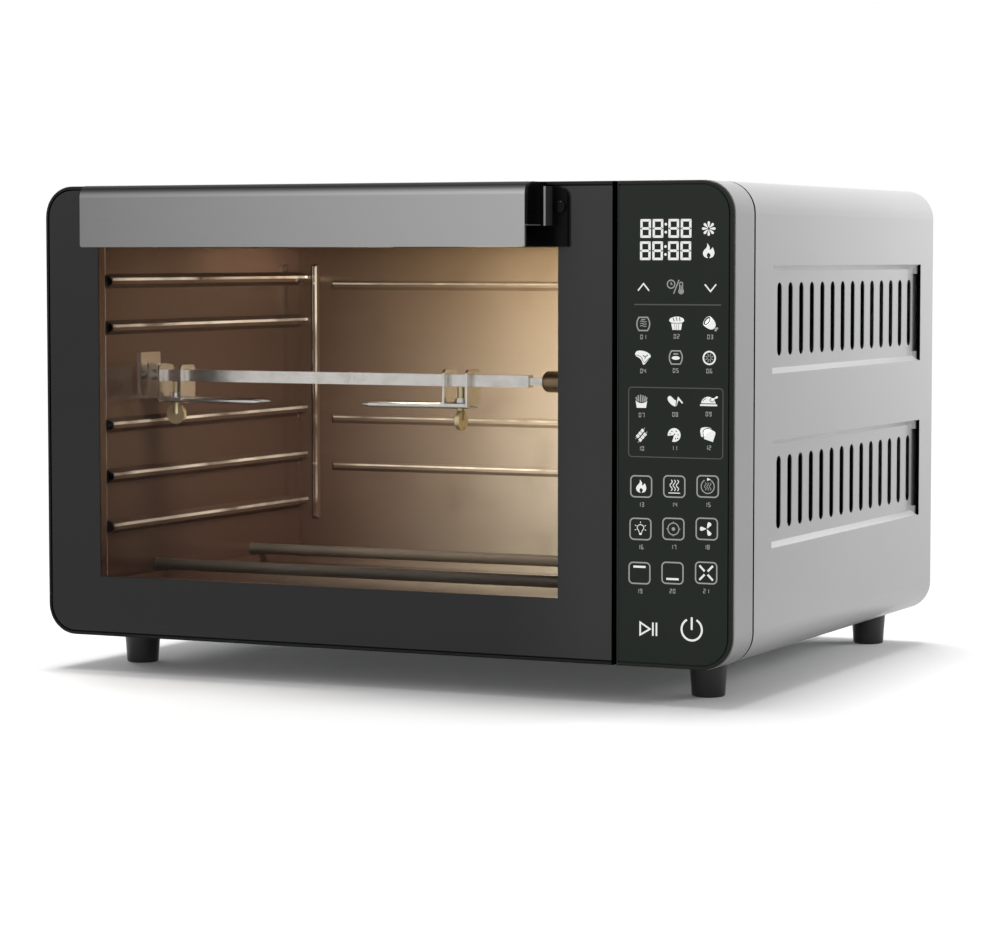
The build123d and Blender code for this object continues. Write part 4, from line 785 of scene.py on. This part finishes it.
# x, z is the lower left corner; each bar is mitred where it meets the next
def digit(sign, x, z, wide, high, bar):
    w, h, g, half = wide - bar, high - bar, digitLook["cut"] * bar, bar / 2
    x, z = x + half, z + half
    ends = {"a": ((0, h), (w, h), (0, -1)), "b": ((w, h), (w, h / 2), (-1, 0)),
            "c": ((w, 0), (w, h / 2), (-1, 0)), "d": ((0, 0), (w, 0), (0, 1)),
            "e": ((0, 0), (0, h / 2), (1, 0)), "f": ((0, h), (0, h / 2), (1, 0))}
    strips = []
    for name in digitBars[sign]:
        if name == "g":
            line = np.array([(g, h / 2), (half + g, h / 2), (w - half - g, h / 2), (w - g, h / 2)])
            line = line + (x, z)
            point = digitLook["point"]
            reach = np.array([point, 1, 1, point])[:, None] * np.array([0, half])
            strips += filled(line + reach, line - reach)
            continue
        p, q, inward = (np.array(v, float) for v in ends[name])
        way = (q - p) / np.linalg.norm(q - p)
        last = half if name in "ad" else 0.0
        outer = np.array([p - way * (half - g), q + way * (last - g)]) - inward * half
        inner = np.array([p + way * (half + g), q - way * (half + g)]) + inward * half
        strips += filled(outer + (x, z), inner + (x, z))
    return strips


def numeral(text, x, z, high):  # small numbers centred on x, z
    wide, gap, bar = (digitLook[key] * high for key in ("wide", "gap", "bar"))
    start = x - (len(text) * (wide + gap) - gap) / 2
    strips = []
    for i, sign in enumerate(text):
        strips += digit(sign, start + i * (wide + gap), z - high / 2, wide, high, bar)
    return strips


def flame():  # two tongues with a drop-shaped hollow between them
    left = filled(curve([(-0.7, -4.4), (-2.8, -3.5), (-3.8, -1.5), (-3.1, 0.4), (-1.6, 1.9),
                         (-1.0, 3.3), (-1.0, 4.8)], 26),
                  curve([(-0.5, -4.1), (-1.2, -3.1), (-1.1, -2.0), (-0.1, -0.8), (0.5, 0.6),
                         (0.6, 2.6), (-0.9, 4.7)], 26))
    right = filled(curve([(0.7, -4.4), (2.8, -3.5), (3.8, -1.5), (3.5, 0.4), (2.7, 2.3)], 22),
                   curve([(0.5, -4.1), (1.2, -3.1), (1.1, -2.0), (-0.1, -0.9), (0.5, 0.5),
                          (1.7, 1.2), (2.6, 2.2)], 22))
    return left + right


# wedge-shaped blades with round ends: width grows along the radius
def petals(count, inner, outer, half):
    t = np.linspace(0, 1, 16)
    along = inner + (outer - inner) * t
    bow = half * along / outer * np.sqrt(1 - np.clip((t - 0.6) / 0.4, 0, 0.999) ** 2)
    petal = filled(np.stack([along, bow], 1), np.stack([along, -bow], 1))
    return [s for k in range(count) for s in turned(petal, 90 + k * 360 / count)]


def waves(high, width, pitch, swing=0.85):  # three upright ripples: a sin(3 pi t)
    t = np.linspace(0, 1, 18)
    line = np.stack([swing * np.sin(3 * math.pi * t), (t - 0.5) * high], 1)
    return [s for k in (-1, 0, 1) for s in stroke(line + (k * pitch, 0), width)]


def barrel(width):  # bowed outline of a small oven or basket
    side = curve([(2.9, 4.1), (4.0, 2.0), (4.3, 0.0), (4.0, -2.0), (2.9, -4.1)], 14)
    return stroke(np.vstack([side, side[::-1] * (-1, 1)]), width, True)


# the signs of the programs return their white, cut-out and grey strips
def basketSign():  # a bowed outline with a lid line and three rippled rows
    rows = []
    for z in (1.5, 0.1, -1.3):
        rows += stroke(curve([(-2.2, z), (-0.7, z + 0.3), (0.7, z - 0.3), (2.2, z)], 10), 0.45)
    return [], [], barrel(0.8) + rows + stroke([(-1.4, 2.7), (1.4, 2.7)], 0.6)


def cakeSign():  # a domed top over a tapered cup, with lines cut into both
    top = curve([(-5.0, 1.7), (-4.3, 3.0), (-2.2, 3.8), (0, 4.2), (2.2, 3.9), (4.3, 3.1),
                 (5.1, 1.8)], 26)
    low = curve([(-5.0, 1.6), (-4.0, 0.6), (-2.0, 0.3), (0, 0.2), (2.0, 0.3), (4.0, 0.6),
                 (5.1, 1.7)], 26)
    cup = filled([(-3.6, -0.1), (-2.8, -4.1)], [(3.6, -0.1), (2.9, -4.1)])
    lines = [[(-2.5, 3.3), (-1.5, 1.3)], [(-0.4, 3.8), (0.4, 1.5)], [(1.8, 3.6), (2.3, 1.4)]]
    cuts = [s for line in lines for s in stroke(line, 0.5)]
    for x in (-1.3, 0.1, 1.5):
        cuts += stroke([(x, -0.2), (0.85 * x, -4.0)], 0.25)
    return filled(top, low) + cup, cuts, []


def hamSign():  # the joint drawn along its axis, its cut face as an oval, and a bone
    t = np.linspace(0, 1, 22)
    swell = 3.5 * np.sqrt(np.maximum(0.0, 1 - t**2.1)) + 0.35 * t
    along = -2.6 + 6.4 * t
    body = filled(np.stack([along, swell], 1), np.stack([along, -swell], 1))
    face = [(a * (0.55, 1.0), b * (0.55, 1.0), k) for a, b, k in disc(0, 0, 3.5)]
    face = moved(face, -2.6, 0)
    oval = stroke(arcPoints(0, 0, 2.5, 0, 360, 31)[:-1] * (0.5, 1.0) + (-2.6, 0), 0.85, True)
    bone = stroke([(3.6, 0), (5.1, 0)], 0.9) + disc(5.3, 0.7, 0.75) + disc(5.3, -0.7, 0.75)
    return turned(body + face, -40), turned(oval, -40), turned(bone, -40)


def steakSign():  # a smooth outline, with a forked bone and a lower edge cut in
    top = curve([(-5.5, 2.4), (-4.6, 4.0), (-2.4, 4.6), (0.5, 4.3), (3.2, 3.3), (4.9, 1.8),
                 (4.9, 0.6)], 26)
    low = curve([(-5.5, 2.3), (-4.6, 1.0), (-2.8, 0.1), (-1.2, -1.4), (-0.4, -3.3), (0.8, -4.0),
                 (4.85, 0.5)], 26)
    bone = stroke([(-0.2, 1.7), (1.5, 0.7), (3.2, 2.0)], 0.55)
    bone += stroke([(1.5, 0.8), (1.2, -0.6)], 0.5)
    side = curve([(-4.7, 1.9), (-2.4, 1.2), (-0.8, -0.2), (0.1, -2.2), (1.2, -2.6), (4.4, 0.2)], 24)
    return filled(top, low), bone + stroke(side, 0.35), []


def loafSign():  # a bowed outline with a lid line and a flat oval
    return disc(0, -0.3, 2.7, 0.42), [], barrel(0.8) + stroke([(-1.6, 2.2), (1.6, 2.2)], 0.9)


def sliceSign():  # a ring with eight short spokes
    spokes = [s for k in range(8) for s in turned(stroke([(0.9, 0), (2.9, 0)], 0.5), 22.5 + 45 * k)]
    return ringLine(0, 0, 3.9, 1.0), [], spokes


def chipsSign():  # six sticks in a cup with a hollow rim
    ends = [((-3.0, 0.8), (-3.9, 3.1)), ((-2.1, 0.3), (-2.4, 4.2)), ((-0.8, 0.0), (-0.7, 4.6)),
            ((0.5, 0.0), (1.0, 4.2)), ((1.7, 0.3), (2.5, 3.8)), ((2.7, 0.8), (3.6, 2.9))]
    top = curve([(-4.1, 0.9), (-2.6, -0.2), (-0.2, -0.7), (2.2, -0.2), (3.7, 0.9)], 14)
    low = np.stack([np.linspace(-3.3, 2.9, 14), np.full(14, -3.6)], 1)
    return filled(top, low), [], [s for line in ends for s in stroke(line, 0.85)]


def wingSign():  # a thick arm and a bent tip
    arm = filled(curve([(-5.1, 2.2), (-3.9, 3.4), (-2.3, 2.7), (-0.8, 1.3), (0.6, 0.5)], 16),
                 curve([(-5.1, 2.0), (-4.6, 0.2), (-3.0, -1.6), (-1.1, -2.8), (0.2, -3.1)], 16))
    tip = filled([(0.8, -2.8), (1.2, 0.4), (1.9, 3.1), (3.4, 1.4), (5.3, -0.8)],
                 [(1.1, -2.6), (1.7, -0.3), (2.4, 0.9), (3.3, 0.1), (4.5, -1.3)])
    return arm + tip, [], []


def roastSign():  # a dome with a leg, over a flat dish
    top = curve([(-5.0, -1.3), (-4.3, 0.5), (-2.6, 2.0), (-0.4, 2.6), (1.8, 2.1), (3.6, 0.7),
                 (4.7, -1.3)], 24)
    dome = filled(top, np.stack([np.linspace(-5.0, 4.7, 24), np.full(24, -1.5)], 1))
    leg = stroke(curve([(2.4, 0.9), (4.0, 1.6), (5.3, 2.3)], 8), 0.8) + disc(5.4, 2.4, 0.65)
    lines = stroke(curve([(1.9, 1.9), (0.8, 0.4), (2.2, -0.5), (3.6, 0.2)], 14), 0.4)
    lines += stroke(curve([(-3.9, -0.2), (-2.9, 0.9), (-1.7, 1.4)], 8), 0.4)
    return dome + stroke([(-5.7, -2.6), (5.6, -2.6)], 1.1) + leg, lines, []


def skewerPair(strips):  # one above the other, both aslant
    return turned(moved(strips, 0.4, 1.4), 48) + turned(moved(strips, -0.2, -1.4), 48)


def skewerSign():  # three square bits on a stick
    bits = []
    for x in (-2.2, 0.1, 2.4):
        left, right = x - 0.95, x + 0.95
        bits += filled([(left, 1.0), (right, 1.0)], [(left, -1.0), (right, -1.0)])
    return skewerPair(bits), [], skewerPair(stroke([(-4.6, 0), (4.8, 0)], 0.5))


def pieSign():  # a round with a wedge left out, and spots cut in
    rim = arcPoints(0, 0, 4.3, -108, 188, 36)
    hub = arcPoints(0, 0, 0.15, -108, 188, 36)
    spots = [(1.4, 2.4), (-1.5, 2.3), (2.7, 0.2), (1.0, -2.3), (0.3, 0.5), (-2.7, 0.7), (2.4, -2.0)]
    return filled(rim, hub), [s for x, z in spots for s in disc(x, z, 0.42)], []


def breadSign():  # two slices, one behind the other
    back = filled(curve([(-5.3, 1.9), (-4.8, 3.7), (-2.6, 4.5), (0.6, 4.3), (2.7, 3.3)], 18),
                  curve([(-4.7, -1.3), (-3.9, -1.5), (-3.1, -1.5), (-1.0, 1.0), (2.6, 2.9)], 18))
    top = curve([(-3.0, 1.1), (-2.5, 2.4), (-0.6, 3.2), (2.4, 2.7), (4.6, 1.6), (4.6, -0.1)], 20)
    front = filled(top, np.stack([np.linspace(-2.7, 3.1, 20), np.linspace(-2.8, -4.5, 20)], 1))
    edge = curve([(-2.9, -2.5), (-3.1, 0.2), (-3.4, 1.3), (-2.7, 2.8), (-0.5, 3.7), (2.8, 3.1)], 20)
    return back + front, stroke(edge, 0.5), []


# the signs of the keys return one list of strips
def bulbSign():  # a pear-shaped outline on a foot, with five rays
    glass = curve([(-1.0, -2.4), (-1.3, -1.2), (-2.4, 0.5), (-1.9, 2.2), (0, 3.0), (1.9, 2.2),
                   (2.4, 0.5), (1.3, -1.2), (1.0, -2.4)], 26)
    foot = filled([(-1.0, -2.6), (-0.8, -4.0)], [(1.0, -2.6), (0.8, -4.0)])
    ray = stroke([(3.3, 0.0), (4.4, 0.0)], 0.45)
    rays = [s for angle in (-20, 25, 90, 155, 200) for s in turned(ray, angle)]
    return stroke(glass, 0.5) + foot + moved(rays, 0, 0.7)


def turnSign():  # a ring with a hub and four ticks
    ticks = [s for k in range(4) for s in turned(stroke([(3.3, 0), (4.1, 0)], 0.5), 90 * k)]
    return ringLine(0, 0, 3.3, 0.6) + disc(0, 0, 1.0) + ticks


def againSign():  # ripples in an open ring
    ring = stroke(arcPoints(0, 0, 4.0, 118, 422, 40), 0.6)
    return ring + moved(waves(7.0, 0.6, 2.4), 0, 0, 0.62)


def dialSign():  # a clock, a slash and a thermometer
    clock = ringLine(-3.1, 1.7, 2.5, 0.7) + stroke([(-3.1, 3.1), (-3.1, 1.6), (-2.1, 1.6)], 0.6)
    slash = stroke([(-1.4, -4.2), (2.2, 4.4)], 0.7)
    tube = [arcPoints(3.6, 2.0, 1.0, 180, 0, 10), arcPoints(3.6, -2.7, 1.55, 50, -230, 22)]
    stem = stroke(np.vstack(tube), 0.6, True)
    return clock + slash + stem + disc(3.6, -2.7, 1.05) + stroke([(3.6, -2.6), (3.6, 1.0)], 0.65)


def playSign():  # a triangle and two bars
    bars = stroke([(3.2, 4.2), (3.2, -4.2)], 1.1) + stroke([(5.6, 4.2), (5.6, -4.2)], 1.1)
    return stroke([(-5.4, 3.9), (-5.4, -3.9), (1.2, 0.0)], 1.05, True) + bars


def powerSign():  # an open ring and an upright bar
    return stroke(arcPoints(0, -0.4, 6.8, 118, 422, 44), 1.25) + stroke([(0, 7.3), (0, -0.6)], 1.25)


def keySigns():  # the boxed keys in reading order; the fifth is all grey, and so is made apart
    warm = moved(waves(7.4, 0.55, 2.3), 0, 0.8) + stroke([(-4.2, -4.4), (4.2, -4.4)], 0.6)
    tip = filled([(-0.5, 3.8), (-0.4, 5.8)], [(2.2, 4.7), (2.2, 4.8)])
    blades = turned(petals(3, 0.5, 5.0, 2.0), -30)
    top, bottom = (stroke([(-4.5, z), (4.5, z)], 1.4) for z in (4.3, -4.1))
    arm = stroke([(1.6, 0), (6.9, 0)], 1.35)
    cross = [s for k in range(4) for s in turned(arm, 45 + 90 * k)]
    return [moved(flame(), 0, 0, 0.98), warm, tip, bulbSign(), [], blades, top, bottom, cross]


marks = {
    "digits": [(187.1, 292.4), (186.9, 278.6)], "digitWide": 7.1, "digitHigh": 11.6,
    "digitBar": 1.5, "digitPitch": 8.25, "pairShift": 18.8,
    "colon": 17.05, "colonRise": (3.5, 8.4), "colonDot": 0.85,
    "fan": (232.7, 298.0), "flame": (232.7, 284.2), "dial": (210.9, 262.0),
    "arrow": [(-3.75, -2.2), (0, 2.2), (3.75, -2.2)], "arrowLine": 0.85,
    "up": (189.3, 261.8), "down": (234.0, 261.5),
    "rule": [(183.1, 251.0), (241.1, 251.0)], "ruleLine": 0.75,
    "frame": (211.05, 177.7, 63.1, 43.4, 2.2, 0.6),
    "programs": [(189.2, 238.9, basketSign), (211.6, 239.5, cakeSign), (233.9, 239.4, hamSign),
                 (189.2, 217.7, steakSign), (211.1, 218.3, loafSign), (233.4, 218.3, sliceSign),
                 (188.3, 190.2, chipsSign), (210.8, 191.0, wingSign), (233.1, 191.7, roastSign),
                 (188.0, 169.3, skewerSign), (210.2, 170.1, pieSign), (232.9, 170.9, breadSign)],
    "keys": [(188.1, 137.4), (210.4, 138.0), (232.7, 138.7), (187.7, 110.7), (209.9, 111.5),
             (232.2, 112.3), (187.1, 83.0), (209.4, 83.9), (231.9, 84.9)],
    "keyBox": (14.1, 13.2, 2.6, 0.85), "keySize": 0.92,
    "againKey": 2, "againSize": 1.08, "turnKey": 4, "turnSize": 1.12,
    "number": 2.8, "programDrop": 8.1, "keyDrop": 11.3,
    "play": (193.1, 48.1), "power": (222.4, 49.5),
}
bright, cuts, middle, faint = [], [], [], []
for startX, startZ in marks["digits"]:
    for pair in (0, marks["pairShift"]):
        for column in (pair, pair + marks["digitPitch"]):
            bright += digit("8", startX + column, startZ, marks["digitWide"], marks["digitHigh"],
                            marks["digitBar"])
    for rise in marks["colonRise"]:
        bright += disc(startX + marks["colon"], startZ + rise, marks["colonDot"])
bright += moved(petals(8, 0.8, 4.5, 1.12), *marks["fan"]) + moved(flame(), *marks["flame"])
arrow = np.array(marks["arrow"])
bright += stroke(arrow + marks["up"], marks["arrowLine"])
bright += stroke(arrow * (1, -1) + marks["down"], marks["arrowLine"])
middle += moved(dialSign(), *marks["dial"])
faint += stroke(marks["rule"], marks["ruleLine"]) + roundedBox(*marks["frame"])
number = 0
for x, z, sign in marks["programs"]:
    number += 1
    for layer, strips in zip((bright, cuts, middle), sign()):
        layer += moved(strips, x, z)
    middle += numeral(f"{number:02d}", x, z - marks["programDrop"], marks["number"])
for (x, z), sign in zip(marks["keys"], keySigns()):
    number += 1
    middle += roundedBox(x, z, *marks["keyBox"])
    bright += moved(sign, x, z, marks["keySize"])
    middle += numeral(f"{number:02d}", x, z - marks["keyDrop"], marks["number"])
middle += moved(againSign(), *marks["keys"][marks["againKey"]], marks["againSize"])
middle += moved(turnSign(), *marks["keys"][marks["turnKey"]], marks["turnSize"])
bright += moved(playSign(), *marks["play"]) + moved(powerSign(), *marks["power"])
inkMesh("panel_signs", bright, panelInk("ink_white", (0.86, 0.87, 0.86), 0.6))
inkMesh("panel_cuts", cuts, panelInk("ink_dark", (0.012, 0.016, 0.013), 0.0), 1.4)
inkMesh("panel_outlines", middle, panelInk("ink_grey", (0.42, 0.43, 0.42), 0.35))
inkMesh("panel_dividers", faint, panelInk("ink_dim", (0.085, 0.088, 0.086), 0.3))
print("panel marks:", len(bright) + len(cuts) + len(middle) + len(faint))

# camera at the photograph's viewing angle
shot = {"place": (0.97089, -2.05929, 0.28092), "azimuth": 25.10, "elevation": 3.73,
        "lens": 116.34, "sensor": 36.0}
lens = bpy.data.cameras.new("shot")
lens.sensor_width, lens.lens = shot["sensor"], shot["lens"]
camera = bpy.data.objects.new("shot", lens)
scene.collection.objects.link(camera)
turn, rise = math.radians(shot["azimuth"]), math.radians(shot["elevation"])
reach = math.cos(rise)
backward = Vector((math.sin(turn) * reach, -math.cos(turn) * reach, math.sin(rise)))
camera.location = shot["place"]
camera.rotation_mode = "QUATERNION"
camera.rotation_quaternion = (-backward).to_track_quat("-Z", "Y")
scene.camera = camera

# white room: an even floor under the open sky, so that only the oven's shadow marks it
room = {
    "ambient": 0.46, "floor": 0.86, "bounce": 0.18, "mirror": 0.62, "glow": 0.04, "half": 60.0,
    "sun": 2.25, "sunAngle": 24.0, "sunFrom": (-0.10, 0.1, 1.0),
}
white = (1, 1, 1, 1)


def rays(finish):  # light that goes to the camera, off a gloss and through glass
    return [finish.add("ShaderNodeLightPath", None, None, f"Is {kind} Ray")
            for kind in ("Camera", "Glossy", "Transmission")]


sky = Finish(bpy.data.worlds.new("room"))
direct, glossy, through = rays(sky)
strength = room["ambient"] + (1 - room["ambient"]) * ((direct + glossy + through) > 0.5)
backdrop = sky.add("ShaderNodeBackground", None, {"Color": white, "Strength": strength})
scene.world = sky.close(backdrop, "ShaderNodeOutputWorld")

ground = newFinish("floor_white")
direct, glossy, through = rays(ground)
tone = ground.blend(glossy, grey(room["bounce"]), grey(room["mirror"]))
tone = ground.blend((direct + through) > 0.5, tone, grey(room["floor"]))
shade = ground.add("ShaderNodeBsdfDiffuse", None, {"Color": tone})
glow = ground.add("ShaderNodeEmission", None, {"Color": white, "Strength": room["glow"]})
top = ground.add("ShaderNodeAddShader", None, {0: shade, 1: glow})
below = ground.add("ShaderNodeNewGeometry", None, None, "Backfacing")
clear = ground.add("ShaderNodeBsdfTransparent")
floorMesh = bpy.data.meshes.new("floor")
half = room["half"]
floorMesh.from_pydata([(-half, -half, 0), (half, -half, 0), (half, half, 0), (-half, half, 0)], [],
                      [(0, 1, 2, 3)])
floorMesh.materials.append(ground.close(ground.mix(below, top, clear)))
floor = bpy.data.objects.new("floor", floorMesh)
scene.collection.objects.link(floor)

sunLight = bpy.data.lights.new("sky_light", "SUN")
sunLight.energy, sunLight.angle = room["sun"], math.radians(room["sunAngle"])
sun = bpy.data.objects.new("sky_light", sunLight)
scene.collection.objects.link(sun)
sun.rotation_mode = "QUATERNION"
sun.rotation_quaternion = (-Vector(room["sunFrom"])).to_track_quat("-Z", "Y")

# three soft lamps around the oven, and two under its roof for its own warm light
cavityLow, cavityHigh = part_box("cavity_floor")[0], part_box("cavity_roof")[1]
lamps = [
    {"name": "right", "place": (0.85, 0.65, 0.36), "target": (0.25, 0.2, 0.33),
     "size": (0.25, 0.25), "power": 1.25, "spread": 70.0},
    {"name": "left", "place": (-0.9, 0.45, 0.4), "target": (-0.25, 0.1, 0.22),
     "size": (0.3, 0.3), "power": 0.8, "spread": 80.0},
    {"name": "front", "place": (-1.0, -2.4, 1.2), "target": (0, 0, 0.15),
     "size": (1.4, 1.4), "power": 6.0, "mirrored": True},
    {"name": "oven_lamp", "target": (-0.03, cavityHigh.y, 0.16),
     "place": (cavityHigh.x - 0.07, cavityLow.y + 0.06, cavityHigh.z - 0.03),
     "size": (0.08, 0.05), "power": 1.4, "tone": (1.0, 0.88, 0.70), "spread": 120.0},
    {"name": "oven_glow", "target": (cavityLow.x, 0.02, 0.12),
     "place": (-0.05, cavityLow.y + 0.05, cavityHigh.z - 0.012),
     "size": (0.06, 0.06), "power": 0.7, "tone": (1.0, 0.95, 0.86), "spread": 150.0,
     "mirrored": True},
]


def softBox(name, place, target, size, power, tone=(1, 1, 1), spread=180.0, mirrored=False):
    lamp = bpy.data.lights.new(name, "AREA")
    lamp.shape, lamp.spread = "RECTANGLE", math.radians(spread)
    lamp.size, lamp.size_y = size
    lamp.energy, lamp.color = power, tone
    box = bpy.data.objects.new(name, lamp)
    scene.collection.objects.link(box)
    box.visible_camera, box.visible_glossy = False, mirrored
    box.location = place
    box.rotation_mode = "QUATERNION"
    box.rotation_quaternion = (Vector(target) - Vector(place)).to_track_quat("-Z", "Y")


for lamp in lamps:
    softBox(**lamp)
print("camera and", len(lamps) + 1, "lights set")
